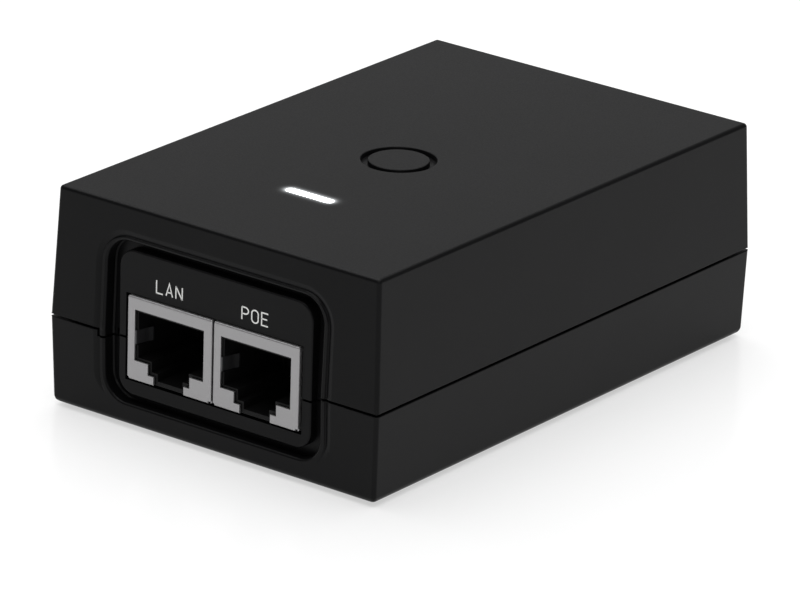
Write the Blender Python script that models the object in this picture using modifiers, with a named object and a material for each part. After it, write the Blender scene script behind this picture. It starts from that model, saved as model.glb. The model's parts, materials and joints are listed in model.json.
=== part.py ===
"""Power-over-Ethernet injector: a small mains adapter with two shielded network jacks.

The case is two black mouldings that meet at a parting line.  The front (-Y) carries the LAN and
PoE jacks on a raised panel inside a groove, the rear (+Y) the mains inlet, the top a light bar,
and the underside four feet and a wall bracket in a T-shaped channel.

Frame: X is the width, Y the length, Z is up.  The origin is on the floor, under the middle.
Every dimension below is in millimetres; MM turns it into Blender's metres.
"""
import math

import bmesh
import bpy
from mathutils import Matrix, Vector

MM = 0.001
GAP = 0.3                       # clearance between pieces that touch on the real object

# Case
WIDTH = 59.7
LENGTH = 90.5
HEIGHT = 33.35
FOOT_STANDOFF = 0.5             # how far the feet lift the case off the floor
WALL = 2.2
PARTING_HEIGHT = 13.5           # above the underside of the case
PARTING_GAP = 0.4
TOP_DRAFT = 0.77                # how far each side leans in at the top edge
BOTTOM_DRAFT = 0.36
TOP_EDGE_RADIUS = 0.6
SIDE_EDGE_RADIUS = 0.6
BOTTOM_EDGE_RADIUS = 1.0
EDGE_SEGMENTS = 3

CASE_BOTTOM = FOOT_STANDOFF
CASE_TOP = CASE_BOTTOM + HEIGHT
PARTING = CASE_BOTTOM + PARTING_HEIGHT
FRONT = -LENGTH / 2
REAR = LENGTH / 2

# Tongue of the lower moulding that locates the upper one
TONGUE_THICKNESS = 0.9
TONGUE_RISE = 1.5
TONGUE_ROOT = 2.3

# Port panel on the front: a racetrack groove around a raised panel
GROOVE_HALF_WIDTH = 19.7
GROOVE_BOTTOM = CASE_BOTTOM + 3.4
GROOVE_TOP = CASE_BOTTOM + 28.2
GROOVE_RADIUS = 3.9
GROOVE_DEPTH = 1.7
PANEL_HALF_WIDTH = 17.5
PANEL_BOTTOM = CASE_BOTTOM + 4.7
PANEL_TOP = CASE_BOTTOM + 26.8
PANEL_RADIUS = 2.6
PANEL_RECESS = 0.8              # the panel stands upright while the case face leans back
CORNER_SEGMENTS = 4
PANEL_SPLIT_DROP = 1.2          # the parting line steps down by this much inside the groove

# Network jacks
JACK_WIDTH = 15.5
JACK_HEIGHT = 12.75
JACK_DEPTH = 18.0
JACK_BOTTOM = CASE_BOTTOM + 7.3
JACK_TOP = JACK_BOTTOM + JACK_HEIGHT
JACK_FACE = FRONT + 0.3          # the shields stand a little proud of the panel
JACK_CENTRES = {"lan": -(JACK_WIDTH + GAP) / 2, "poe": (JACK_WIDTH + GAP) / 2}
SHIELD_SHEET = 0.3
PLUG_MOUTH_HALF = 5.95          # opening of the moulded socket, with its two keyed steps
PLUG_MOUTH_BOTTOM = JACK_BOTTOM + 3.45
PLUG_MOUTH_TOP = JACK_BOTTOM + 10.45
KEY_STEP_HALF = 3.4
KEY_STEP_BOTTOM = JACK_BOTTOM + 1.85
LATCH_SLOT_HALF = 2.3
MOUTH_MARGIN = 0.4              # how much larger the shield's stamped window is
PLUG_DEPTH = 12.6

# Sprung contacts of a jack
CONTACT_COUNT = 8
CONTACT_PITCH = 1.02
CONTACT_RADIUS = 0.22
CONTACT_LENGTH = 7.2
CONTACT_SLOPE = math.radians(29.0)
CONTACT_BEND = 0.42             # radius of the fold at the front of each wire
CONTACT_PIVOT_Y = JACK_FACE + 4.9
CONTACT_PIVOT_Z = PLUG_MOUTH_TOP + 0.25
CONTACT_POCKET_HALF = 4.35
CONTACT_POCKET_HEIGHT = 1.3

# Main board
BOARD_TOP = JACK_BOTTOM - GAP
BOARD_THICKNESS = 1.6
BOARD_BOTTOM = BOARD_TOP - BOARD_THICKNESS
BOARD_HALF_WIDTH = 26.3
BOARD_HALF_LENGTH = 42.6
SEAT = BOARD_TOP + GAP          # where the parts on the board start
SHEET_THICKNESS = 0.4

# Case screws, their bosses, and the feet that cover them
SCREW_X = 22.9
SCREW_Y = 37.4
BOSS_RADIUS = 3.2
BOSS_SHOULDER_RADIUS = 4.9
BOSS_BORE = 1.7
BOSS_SPLIT = PARTING - 0.5
SCREW_RADIUS = 1.4
SCREW_HEAD_RADIUS = 2.7
SCREW_HEAD_BOTTOM = 2.0
SCREW_HEAD_HEIGHT = 1.9
SCREW_TIP = 21.5
FOOT_RADIUS = 4.5
FOOT_HEIGHT = 1.4

# Wall bracket and its T-shaped channel
CHANNEL_FRONT = -24.0
CHANNEL_HALF_WIDTH = 17.6
CHANNEL_MOUTH_HALF = 15.0
CHANNEL_LIP_TOP = 1.3
CHANNEL_CEILING = 3.2
CHANNEL_ROOF = 1.4
BRACKET_FRONT = CHANNEL_FRONT + 0.4
BRACKET_REAR = 42.4
BRACKET_HALF_WIDTH = 14.6
BRACKET_BOTTOM = 0.7
BRACKET_HOLE_Y = (-12.0, 30.0)
BRACKET_HOLE_RADIUS = 2.1
LATCH_HALF_WIDTH = 4.0
LATCH_SLIT = 0.8

# Light bar on the top
LIGHT_X = 0.4
LIGHT_Y = -23.9
LIGHT_LENGTH = 9.0
LIGHT_WIDTH = 1.9
LIGHT_SLOT_CLEARANCE = 0.3
LIGHT_STEM_HALF = (2.0, 0.75)
LED_HEIGHT = 1.1

# Mains inlet
INLET_HALF_WIDTH = 10.25
INLET_TOP = 24.9
INLET_FRONT = 27.25
INLET_FACE = REAR - 0.25
INLET_CAVITY_FLOOR = 29.5
INLET_LOBE_RADIUS = 4.3
INLET_PIN_RADIUS = 1.15
INLET_PIN_BACK = 25.6
INLET_PIN_TIP = 40.0
INLET_PIN_POSITIONS = {"line": (-3.5, 14.1), "neutral": (3.5, 14.1), "earth": (0.0, 18.9)}

# Wound parts
CHOKE_CENTRE = (-16.5, 19.0)
CHOKE_LEG_OFFSET = 5.8
CHOKE_LEG = 3.4
CHOKE_DEPTH = 4.0
CHOKE_HEIGHT = 13.0
TRANSFORMER_CENTRE = (2.0, 4.0)
TRANSFORMER_BASE = SEAT + 3.0
TRANSFORMER_HALF_WIDTH = 11.0
TRANSFORMER_DEPTH = 9.0
TRANSFORMER_HEIGHT = 18.0
TRANSFORMER_YOKE = 3.0
TRANSFORMER_LEG = 3.0           # half the width of the centre leg

ROUND = 20                      # sides of a small round piece


# ---------------------------------------------------------------- scene and materials

def clear_scene():
    for item in list(bpy.data.objects):
        bpy.data.objects.remove(item, do_unlink=True)


def new_collection(name):
    group = bpy.data.collections.new(name)
    bpy.context.scene.collection.children.link(group)
    return group


def make_material(name, colour, roughness, metallic=0.0):
    material = bpy.data.materials.new(name)
    material.use_nodes = True
    shader = material.node_tree.nodes["Principled BSDF"]
    shader.inputs["Base Color"].default_value = (*colour, 1.0)
    shader.inputs["Roughness"].default_value = roughness
    shader.inputs["Metallic"].default_value = metallic
    return material


clear_scene()
PARTS = new_collection("poe_injector")
CUTTERS = new_collection("cutters")

CASE_BLACK = (0.012, 0.012, 0.013)
SOCKET_BLACK = (0.008, 0.008, 0.008)
RUBBER_BLACK = (0.015, 0.015, 0.015)
SHIELD_GREY = (0.45, 0.45, 0.46)
STEEL = (0.55, 0.55, 0.57)
GOLD = (0.75, 0.55, 0.20)
BRASS = (0.70, 0.60, 0.35)
COPPER = (0.62, 0.30, 0.14)
ALUMINIUM = (0.62, 0.63, 0.65)
BOARD_GREEN = (0.02, 0.14, 0.06)
SHEET_WHITE = (0.75, 0.75, 0.70)
LIGHT_WHITE = (0.90, 0.92, 0.95)
FERRITE = (0.05, 0.05, 0.055)
TAPE_YELLOW = (0.75, 0.58, 0.10)
FILM_YELLOW = (0.72, 0.55, 0.05)
DISC_BLUE = (0.03, 0.10, 0.35)
SLEEVE_BLUE = (0.02, 0.04, 0.12)
EPOXY_BLACK = (0.02, 0.02, 0.02)


# ---------------------------------------------------------------- shape helpers (millimetres in)

def point(x, y, z):
    return Vector((x, y, z)) * MM


def place(name, data, location, material):
    """Link a new object, as a part when it has a material and as a cutter when it has none."""
    item = bpy.data.objects.new(name, data)
    item.location = location
    if material is None:
        CUTTERS.objects.link(item)
        item.hide_render = True
        item.display_type = "WIRE"
    else:
        PARTS.objects.link(item)
        data.materials.append(material)
    return item


def block(name, x, y, z, material=None, bevel=0.0, segments=2):
    """A box between the low and high values of x, y and z."""
    centre = point(sum(x) / 2, sum(y) / 2, sum(z) / 2)
    size = point(x[1] - x[0], y[1] - y[0], z[1] - z[0])
    mesh = bpy.data.meshes.new(name)
    shape = bmesh.new()
    bmesh.ops.create_cube(shape, size=1.0, matrix=Matrix.Diagonal((*size, 1.0)))
    shape.to_mesh(mesh)
    shape.free()
    item = place(name, mesh, centre, material)
    if bevel:
        add_bevel(item, bevel, segments)
    return item


def tapered_block(name, half_low, half_high, z, material=None, edge_weights=None):
    """A box whose half sizes in X and Y run from half_low to half_high.

    edge_weights gives the share of the bevel width for vertical, low and high edges.
    """
    mesh = bpy.data.meshes.new(name)
    shape = bmesh.new()
    bmesh.ops.create_cube(shape, size=2.0)
    for vertex in shape.verts:
        high = vertex.co.z > 0
        half = half_high if high else half_low
        vertex.co.x *= half[0] * MM
        vertex.co.y *= half[1] * MM
        vertex.co.z = (z[1] if high else z[0]) * MM
    if edge_weights:
        layer = shape.edges.layers.float.new("bevel_weight_edge")
        for edge in shape.edges:
            heights = {round(vertex.co.z / MM, 3) for vertex in edge.verts}
            if len(heights) == 2:
                edge[layer] = edge_weights["vertical"]
            elif max(heights) > z[0] + 0.001:
                edge[layer] = edge_weights["high"]
            else:
                edge[layer] = edge_weights["low"]
    shape.to_mesh(mesh)
    shape.free()
    return place(name, mesh, point(0, 0, 0), material)


def cylinder(name, centre, radius, length, axis="Z", material=None, sides=ROUND, bevel=0.0):
    """A cylinder of the given length about its centre, along X, Y or Z."""
    mesh = bpy.data.meshes.new(name)
    shape = bmesh.new()
    bmesh.ops.create_cone(shape, cap_ends=True, segments=sides, radius1=radius * MM,
                          radius2=radius * MM, depth=length * MM)
    shape.to_mesh(mesh)
    shape.free()
    mesh.shade_smooth()
    mesh.set_sharp_from_angle(angle=math.radians(40))
    item = place(name, mesh, point(*centre), material)
    if axis == "X":
        item.rotation_euler = (0.0, math.pi / 2, 0.0)
    elif axis == "Y":
        item.rotation_euler = (math.pi / 2, 0.0, 0.0)
    if bevel:
        add_bevel(item, bevel, 2)
    return item


def turned(name, profile, location, material, rotation=(0.0, 0.0, 0.0), sides=ROUND):
    """A solid of revolution about Z from (radius, height) points, listed top to bottom."""
    mesh = bpy.data.meshes.new(name)
    verts = [(radius * MM, 0.0, height * MM) for radius, height in profile]
    mesh.from_pydata(verts, [(i, i + 1) for i in range(len(verts) - 1)], [])
    item = place(name, mesh, point(*location), material)
    item.rotation_euler = rotation
    screw = item.modifiers.new("turn", "SCREW")
    screw.axis = "Z"
    screw.steps = sides
    screw.render_steps = sides
    screw.use_merge_vertices = True
    screw.merge_threshold = 0.00001
    screw.use_smooth_shade = False
    return item


def rounded_rectangle(half_width, low, high, radius):
    """Corner-rounded outline in X and Z, anticlockwise."""
    corners = [
        (half_width - radius, low + radius, -90),
        (half_width - radius, high - radius, 0),
        (radius - half_width, high - radius, 90),
        (radius - half_width, low + radius, 180),
    ]
    outline = []
    for x, z, start in corners:
        for step in range(CORNER_SEGMENTS + 1):
            angle = math.radians(start + 90 * step / CORNER_SEGMENTS)
            outline.append((x + radius * math.cos(angle), z + radius * math.sin(angle)))
    return outline


def upright_plate(name, outlines, y, material=None):
    """Flat outlines in X and Z made solid between two values of Y; a second outline is a hole."""
    curve = bpy.data.curves.new(name, "CURVE")
    curve.dimensions = "2D"
    curve.fill_mode = "BOTH"
    curve.extrude = (y[1] - y[0]) / 2 * MM
    for outline in outlines:
        spline = curve.splines.new("POLY")
        spline.points.add(len(outline) - 1)
        for target, (x, z) in zip(spline.points, outline):
            target.co = (x * MM, z * MM, 0.0, 1.0)
        spline.use_cyclic_u = True
    matrix = Matrix.Translation(point(0, sum(y) / 2, 0)) @ Matrix.Rotation(math.pi / 2, 4, "X")
    return mesh_from_curve(name, curve, matrix, material)


def mesh_from_curve(name, curve, matrix, material):
    """Turn a curve into a closed mesh object, with its caps welded on."""
    drawn = bpy.data.objects.new(name + "_curve", curve)
    PARTS.objects.link(drawn)
    drawn.matrix_world = matrix
    bpy.context.view_layer.update()
    evaluated = drawn.evaluated_get(bpy.context.evaluated_depsgraph_get())
    mesh = bpy.data.meshes.new_from_object(evaluated)
    world = drawn.matrix_world.copy()
    bpy.data.objects.remove(drawn, do_unlink=True)
    shape = bmesh.new()
    shape.from_mesh(mesh)
    bmesh.ops.remove_doubles(shape, verts=shape.verts, dist=0.000001)
    bmesh.ops.recalc_face_normals(shape, faces=shape.faces)
    shape.to_mesh(mesh)
    shape.free()
    mesh.name = name
    item = place(name, mesh, (0.0, 0.0, 0.0), material)
    item.matrix_world = world
    return item


def add_bevel(item, width, segments, by_weight=False):
    bevel = item.modifiers.new("round_edges", "BEVEL")
    bevel.width = width * MM
    bevel.segments = segments
    bevel.limit_method = "WEIGHT" if by_weight else "ANGLE"


def combine(item, operation, others):
    for other in others:
        boolean = item.modifiers.new(operation.lower(), "BOOLEAN")
        boolean.operation = operation
        boolean.solver = "EXACT"
        boolean.object = other


def cut(item, *others):
    combine(item, "DIFFERENCE", others)


def fuse(item, *others):
    combine(item, "UNION", others)


def make_empty(name, location):
    empty = bpy.data.objects.new(name, None)
    empty.location = location
    PARTS.objects.link(empty)
    return empty


def screw_places():
    """Names and places of the four case corners that hold a screw and a foot."""
    for row, y in (("front", -SCREW_Y), ("rear", SCREW_Y)):
        for side, x in (("left", -SCREW_X), ("right", SCREW_X)):
            yield f"{row}_{side}", x, y


# ---------------------------------------------------------------- case

def case_half(draft):
    return WIDTH / 2 - draft, LENGTH / 2 - draft


def inset(half, distance):
    return half[0] - distance, half[1] - distance


def port_window():
    half = JACK_WIDTH + 1.5 * GAP
    return block("port_window_cutter", (-half, half), (FRONT - 1, FRONT + 4.5),
                 (JACK_BOTTOM - GAP, JACK_TOP + GAP))


def inlet_window():
    half = INLET_HALF_WIDTH + GAP
    return block("inlet_window_cutter", (-half, half), (REAR - 4.5, REAR + 1),
                 (SEAT - GAP, INLET_TOP + GAP))


def groove_cutters():
    groove = rounded_rectangle(GROOVE_HALF_WIDTH, GROOVE_BOTTOM, GROOVE_TOP, GROOVE_RADIUS)
    panel = rounded_rectangle(PANEL_HALF_WIDTH, PANEL_BOTTOM, PANEL_TOP, PANEL_RADIUS)
    ring = upright_plate("groove_cutter", [groove, panel], (FRONT - 1, FRONT + GROOVE_DEPTH))
    face = upright_plate("panel_face_cutter", [groove], (FRONT - 2, FRONT + PANEL_RECESS))
    return ring, face


def make_top_shell(material, cutters):
    low = PARTING + PARTING_GAP / 2
    half_low = case_half(0.0)
    half_high = case_half(TOP_DRAFT)
    weights = {"vertical": SIDE_EDGE_RADIUS / TOP_EDGE_RADIUS, "low": 0.0, "high": 1.0}
    shell = tapered_block("top_shell", half_low, half_high, (low, CASE_TOP), material, weights)
    add_bevel(shell, TOP_EDGE_RADIUS, EDGE_SEGMENTS, by_weight=True)
    cavity = tapered_block("top_cavity_cutter", inset(half_low, WALL), inset(half_high, WALL),
                           (low - 0.5, CASE_TOP - WALL))
    cut(shell, cavity)
    step_low = PARTING - PANEL_SPLIT_DROP + PARTING_GAP / 2
    drop = GROOVE_HALF_WIDTH - PARTING_GAP / 2
    skirt = block("panel_skirt", (-drop, drop), (FRONT + PANEL_RECESS, FRONT + WALL),
                  (step_low, low + 1.0))
    fuse(shell, skirt)
    cut(shell, *cutters)
    for name, x, y in screw_places():
        boss_top = CASE_TOP - WALL / 2
        boss = cylinder(f"top_boss_{name}", (x, y, (PARTING + boss_top) / 2), BOSS_RADIUS,
                        boss_top - PARTING)
        bore = cylinder(f"top_bore_{name}", (x, y, SCREW_TIP / 2 + 1), BOSS_BORE, SCREW_TIP)
        fuse(shell, boss)
        cut(shell, bore)
    light_slot = block("light_slot_cutter", *light_bar_span(LIGHT_SLOT_CLEARANCE),
                       (CASE_TOP - 2 * WALL, CASE_TOP + 1))
    cut(shell, light_slot)
    return shell


def make_bottom_shell(material, cutters):
    high = PARTING - PARTING_GAP / 2
    half_low = case_half(BOTTOM_DRAFT)
    half_high = case_half(0.0)
    weights = {"vertical": SIDE_EDGE_RADIUS / BOTTOM_EDGE_RADIUS, "low": 1.0, "high": 0.0}
    shell = tapered_block("bottom_shell", half_low, half_high, (CASE_BOTTOM, high), material,
                          weights)
    add_bevel(shell, BOTTOM_EDGE_RADIUS, EDGE_SEGMENTS, by_weight=True)
    cavity = tapered_block("bottom_cavity_cutter", inset(half_low, WALL), inset(half_high, WALL),
                           (CASE_BOTTOM + WALL, high + 0.5))
    cut(shell, cavity)
    fuse(shell, make_tongue(high))
    notch = GROOVE_HALF_WIDTH
    split = block("panel_split_cutter", (-notch, notch), (FRONT - 1, FRONT + WALL + 0.2),
                  (PARTING - PANEL_SPLIT_DROP - PARTING_GAP / 2, high + 1))
    cut(shell, split, *cutters)
    channel_roof = block("channel_roof", (-CHANNEL_HALF_WIDTH - 2, CHANNEL_HALF_WIDTH + 2),
                         (CHANNEL_FRONT - 2, REAR - 1),
                         (CASE_BOTTOM + 0.5, CHANNEL_CEILING + CHANNEL_ROOF))
    fuse(shell, channel_roof)
    for name, x, y in screw_places():
        shoulder_top = BOARD_BOTTOM - GAP
        shoulder = cylinder(f"boss_shoulder_{name}", (x, y, (CASE_BOTTOM + 1 + shoulder_top) / 2),
                            BOSS_SHOULDER_RADIUS, shoulder_top - CASE_BOTTOM - 1)
        boss = cylinder(f"bottom_boss_{name}", (x, y, (CASE_BOTTOM + 1 + BOSS_SPLIT) / 2),
                        BOSS_RADIUS, BOSS_SPLIT - CASE_BOTTOM - 1)
        fuse(shell, shoulder, boss)
    for name, x, y in screw_places():
        head_top = SCREW_HEAD_BOTTOM + SCREW_HEAD_HEIGHT + GAP
        foot_recess = cylinder(f"foot_recess_{name}", (x, y, FOOT_HEIGHT + GAP - 2),
                               FOOT_RADIUS + GAP, 4)
        counterbore = cylinder(f"counterbore_{name}", (x, y, head_top / 2),
                               SCREW_HEAD_RADIUS + GAP, head_top)
        bore = cylinder(f"bottom_bore_{name}", (x, y, PARTING / 2), BOSS_BORE, PARTING + 4)
        cut(shell, foot_recess, counterbore, bore)
    wide = block("channel_cutter", (-CHANNEL_HALF_WIDTH, CHANNEL_HALF_WIDTH),
                 (CHANNEL_FRONT, REAR + 1), (CHANNEL_LIP_TOP, CHANNEL_CEILING))
    mouth = block("channel_mouth_cutter", (-CHANNEL_MOUTH_HALF, CHANNEL_MOUTH_HALF),
                  (CHANNEL_FRONT, REAR + 1), (CASE_BOTTOM - 1, CHANNEL_LIP_TOP + 0.5))
    cut(shell, wide, mouth)
    return shell


def make_tongue(rim):
    """Ring that rises from the lower moulding, just inside the wall of the upper one."""
    outer = inset(case_half(0.0), WALL + GAP + 0.05)
    inner = inset(outer, TONGUE_THICKNESS)
    root = inset(case_half(0.0), WALL / 2)
    ring = block("tongue_ring", (-outer[0], outer[0]), (-outer[1], outer[1]),
                 (rim - TONGUE_ROOT, rim + TONGUE_RISE))
    base = block("tongue_base", (-root[0], root[0]), (-root[1], root[1]),
                 (rim - TONGUE_ROOT, rim - GAP))
    hollow = block("tongue_hollow", (-inner[0], inner[0]), (-inner[1], inner[1]),
                   (rim - TONGUE_ROOT - 1, rim + TONGUE_RISE + 1))
    fuse(ring, base)
    cut(ring, hollow)
    return ring


def make_screw(name, x, y, material):
    head_top = SCREW_HEAD_BOTTOM + SCREW_HEAD_HEIGHT
    profile = [
        (0.0, SCREW_TIP),
        (0.4, SCREW_TIP),
        (SCREW_RADIUS, SCREW_TIP - 1.6),
        (SCREW_RADIUS, head_top),
        (SCREW_HEAD_RADIUS, head_top),
        (SCREW_HEAD_RADIUS, SCREW_HEAD_BOTTOM + 0.5),
        (SCREW_HEAD_RADIUS - 0.6, SCREW_HEAD_BOTTOM),
        (0.0, SCREW_HEAD_BOTTOM),
    ]
    return turned(f"case_screw_{name}", profile, (x, y, 0.0), material, sides=12)


def make_foot(name, x, y, material):
    profile = [
        (0.0, FOOT_HEIGHT),
        (FOOT_RADIUS, FOOT_HEIGHT),
        (FOOT_RADIUS, 0.35),
        (FOOT_RADIUS - 0.35, 0.0),
        (0.0, 0.0),
    ]
    return turned(f"foot_{name}", profile, (x, y, 0.0), material)


def make_wall_bracket(material):
    """Flat plate with side flanges, two countersunk screw holes and a springy latch finger."""
    plate = block("wall_bracket", (-BRACKET_HALF_WIDTH, BRACKET_HALF_WIDTH),
                  (BRACKET_FRONT, BRACKET_REAR), (BRACKET_BOTTOM, CHANNEL_CEILING - GAP), material)
    flange_half = CHANNEL_HALF_WIDTH - 0.4
    flange = block("bracket_flange", (-flange_half, flange_half), (BRACKET_FRONT, BRACKET_REAR),
                   (CHANNEL_LIP_TOP + GAP, CHANNEL_CEILING - GAP))
    fuse(plate, flange)
    for y in BRACKET_HOLE_Y:
        hole = cylinder(f"bracket_hole_{y:.0f}", (0.0, y, 0.0), BRACKET_HOLE_RADIUS, 12)
        cut(plate, hole)
    finger_tip = BRACKET_REAR - 2.5
    finger_root = finger_tip - 12.0
    for side in (-1, 1):
        edge = side * LATCH_HALF_WIDTH
        sides = sorted((edge, edge + side * LATCH_SLIT))
        slit = block(f"latch_slit_{side:+d}", sides, (finger_root + 5, finger_tip), (0, 5))
        cut(plate, slit)
    reach = LATCH_HALF_WIDTH + LATCH_SLIT
    end_slit = block("latch_end_slit", (-reach, reach), (finger_tip - LATCH_SLIT, finger_tip),
                     (0, 5))
    cut(plate, end_slit)
    return plate


# ---------------------------------------------------------------- light bar

def light_bar_span(clearance=0.0):
    """X and Y ranges of the bar that shows on the top of the case."""
    half_x = LIGHT_LENGTH / 2 + clearance
    half_y = LIGHT_WIDTH / 2 + clearance
    return (LIGHT_X - half_x, LIGHT_X + half_x), (LIGHT_Y - half_y, LIGHT_Y + half_y)


def make_light_pipe(material):
    """Clear moulding: the bar in the top, a flange under the roof and a stem down to the LED."""
    span_x, span_y = light_bar_span()
    roof = CASE_TOP - WALL
    pipe = block("light_pipe", span_x, span_y, (roof - 2.0, CASE_TOP - 0.05), material)
    flange = block("light_flange", (span_x[0] - 1.4, span_x[1] + 1.4),
                   (span_y[0] - 1.2, span_y[1] + 1.2), (roof - 1.4, roof - GAP))
    stem_x, stem_y = LIGHT_STEM_HALF
    stem = block("light_stem", (LIGHT_X - stem_x, LIGHT_X + stem_x),
                 (LIGHT_Y - stem_y, LIGHT_Y + stem_y), (SEAT + LED_HEIGHT + GAP, roof - 1.0))
    fuse(pipe, flange, stem)
    return pipe


def make_status_led(material):
    return block("status_led", (LIGHT_X - 1.6, LIGHT_X + 1.6), (LIGHT_Y - 1.1, LIGHT_Y + 1.1),
                 (SEAT, SEAT + LED_HEIGHT), material, bevel=0.2)


# ---------------------------------------------------------------- network jacks

def mouth_cutters(name, centre, y, margin):
    """The keyed opening for a modular plug: body, key step, and latch slot open below."""
    spans = (
        (PLUG_MOUTH_HALF, PLUG_MOUTH_BOTTOM, PLUG_MOUTH_TOP + margin),
        (KEY_STEP_HALF, KEY_STEP_BOTTOM, PLUG_MOUTH_BOTTOM + 0.5),
        (LATCH_SLOT_HALF, JACK_BOTTOM - 1.0, KEY_STEP_BOTTOM + 0.5),
    )
    cutters = []
    for index, (half, low, high) in enumerate(spans):
        half += margin
        cutters.append(block(f"{name}_{index}", (centre - half, centre + half), y,
                             (low - margin, high)))
    return cutters


def make_shield(port, centre, material):
    """Folded steel can around the socket, open below, with the stamped window in front."""
    half = JACK_WIDTH / 2
    back = JACK_FACE + JACK_DEPTH
    shield = block(f"{port}_shield", (centre - half, centre + half), (JACK_FACE, back),
                   (JACK_BOTTOM, JACK_TOP), material)
    inner = half - SHIELD_SHEET
    hollow = block(f"{port}_shield_hollow", (centre - inner, centre + inner),
                   (JACK_FACE + SHIELD_SHEET, back - SHIELD_SHEET),
                   (JACK_BOTTOM - 1, JACK_TOP - SHIELD_SHEET))
    cut(shield, hollow)
    cut(shield, *mouth_cutters(f"{port}_window", centre, (JACK_FACE - 1, JACK_FACE + 1),
                               MOUTH_MARGIN))
    return shield


def make_insulator(port, centre, material):
    """Black moulded socket inside the shield, with a pocket above for the contacts."""
    skin = SHIELD_SHEET + GAP
    half = JACK_WIDTH / 2 - skin
    front = JACK_FACE + skin
    socket = block(f"{port}_insulator", (centre - half, centre + half),
                   (front, JACK_FACE + JACK_DEPTH - skin), (JACK_BOTTOM, JACK_TOP - skin), material)
    cut(socket, *mouth_cutters(f"{port}_mouth", centre, (front - 1, JACK_FACE + PLUG_DEPTH), 0.0))
    pocket = block(f"{port}_contact_pocket",
                   (centre - CONTACT_POCKET_HALF, centre + CONTACT_POCKET_HALF),
                   (CONTACT_PIVOT_Y - 0.95, JACK_FACE + PLUG_DEPTH),
                   (PLUG_MOUTH_TOP - 0.5, PLUG_MOUTH_TOP + CONTACT_POCKET_HEIGHT))
    cut(socket, pocket)
    return socket


def contact_route():
    """Side view of one contact wire about its pivot: folded at the front, sloping back and down."""
    fold = []
    for step in range(5):
        angle = math.radians(90) + step * (math.pi + CONTACT_SLOPE) / 4
        fold.append((CONTACT_BEND * math.cos(angle), CONTACT_BEND * math.sin(angle)))
    start = (0.5, CONTACT_BEND)
    fold_end = fold[-1]
    tip = (fold_end[0] + CONTACT_LENGTH * math.cos(CONTACT_SLOPE),
           fold_end[1] - CONTACT_LENGTH * math.sin(CONTACT_SLOPE))
    return [start] + fold + [tip]


def make_contacts(port, centre, material):
    """Eight gold-plated spring wires, held by an empty on the line about which they flex."""
    pivot = make_empty(f"{port}_contact_pivot", point(centre, CONTACT_PIVOT_Y, CONTACT_PIVOT_Z))
    for index in range(CONTACT_COUNT):
        offset = (index - (CONTACT_COUNT - 1) / 2) * CONTACT_PITCH
        curve = bpy.data.curves.new(f"{port}_contact_{index + 1}", "CURVE")
        curve.dimensions = "3D"
        curve.bevel_depth = CONTACT_RADIUS * MM
        curve.bevel_resolution = 1
        curve.use_fill_caps = True
        spline = curve.splines.new("POLY")
        route = contact_route()
        spline.points.add(len(route) - 1)
        for target, (y, z) in zip(spline.points, route):
            target.co = (0.0, y * MM, z * MM, 1.0)
        curve.materials.append(material)
        wire = bpy.data.objects.new(f"{port}_contact_{index + 1}", curve)
        PARTS.objects.link(wire)
        wire.parent = pivot
        wire.location = point(offset, 0.0, 0.0)


# ---------------------------------------------------------------- mains inlet

def make_inlet_body(material):
    """Three-pin appliance inlet with a clover-shaped cavity that opens at the rear."""
    body = block("inlet_body", (-INLET_HALF_WIDTH, INLET_HALF_WIDTH), (INLET_FRONT, INLET_FACE),
                 (SEAT, INLET_TOP), material)
    for name, (x, z) in INLET_PIN_POSITIONS.items():
        lobe = cylinder(f"inlet_lobe_{name}", (x, (INLET_CAVITY_FLOOR + REAR + 1) / 2, z),
                        INLET_LOBE_RADIUS, REAR + 1 - INLET_CAVITY_FLOOR, "Y")
        bore = cylinder(f"inlet_bore_{name}", (x, INLET_CAVITY_FLOOR, z),
                        INLET_PIN_RADIUS + GAP, 8, "Y", sides=12)
        cut(body, lobe, bore)
    return body


def make_inlet_pin(name, x, z, material):
    length = INLET_PIN_TIP - INLET_PIN_BACK
    profile = [
        (0.0, length),
        (INLET_PIN_RADIUS * 0.55, length - 0.15),
        (INLET_PIN_RADIUS, length - 1.1),
        (INLET_PIN_RADIUS, 0.0),
        (0.0, 0.0),
    ]
    return turned(f"inlet_pin_{name}", profile, (x, INLET_PIN_BACK, z), material,
                  rotation=(-math.pi / 2, 0.0, 0.0), sides=12)


# ---------------------------------------------------------------- board and its parts

def make_main_pcb(material):
    board = block("main_pcb", (-BOARD_HALF_WIDTH, BOARD_HALF_WIDTH),
                  (-BOARD_HALF_LENGTH, BOARD_HALF_LENGTH), (BOARD_BOTTOM, BOARD_TOP), material)
    for name, x, y in screw_places():
        hole = cylinder(f"board_hole_{name}", (x, y, BOARD_TOP), BOSS_RADIUS + 0.4, 6)
        cut(board, hole)
    return board


def make_insulation_sheet(material):
    low = CHANNEL_CEILING + CHANNEL_ROOF + GAP
    return block("insulation_sheet", (-25.5, 25.5), (-32.0, 32.0), (low, low + SHEET_THICKNESS),
                 material)


def make_capacitor(name, x, y, radius, height, material):
    """Upright electrolytic can with the crimp groove near its foot."""
    profile = [
        (0.0, height),
        (radius - 0.5, height),
        (radius, height - 0.5),
        (radius, 2.6),
        (radius - 0.4, 2.1),
        (radius, 1.6),
        (radius, 0.0),
        (0.0, 0.0),
    ]
    return turned(name, profile, (x, y, SEAT), material)


def make_fuse(material):
    """Cartridge fuse that lies along Y, with a metal cap at each end."""
    radius, length, cap = 2.3, 15.0, 3.6
    profile = [
        (0.0, length),
        (radius + 0.3, length),
        (radius + 0.3, length - cap),
        (radius, length - cap),
        (radius, cap),
        (radius + 0.3, cap),
        (radius + 0.3, 0.0),
        (0.0, 0.0),
    ]
    return turned("fuse", profile, (14.2, 26.0, SEAT + radius + 0.3), material,
                  rotation=(-math.pi / 2, 0.0, 0.0), sides=16)


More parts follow.
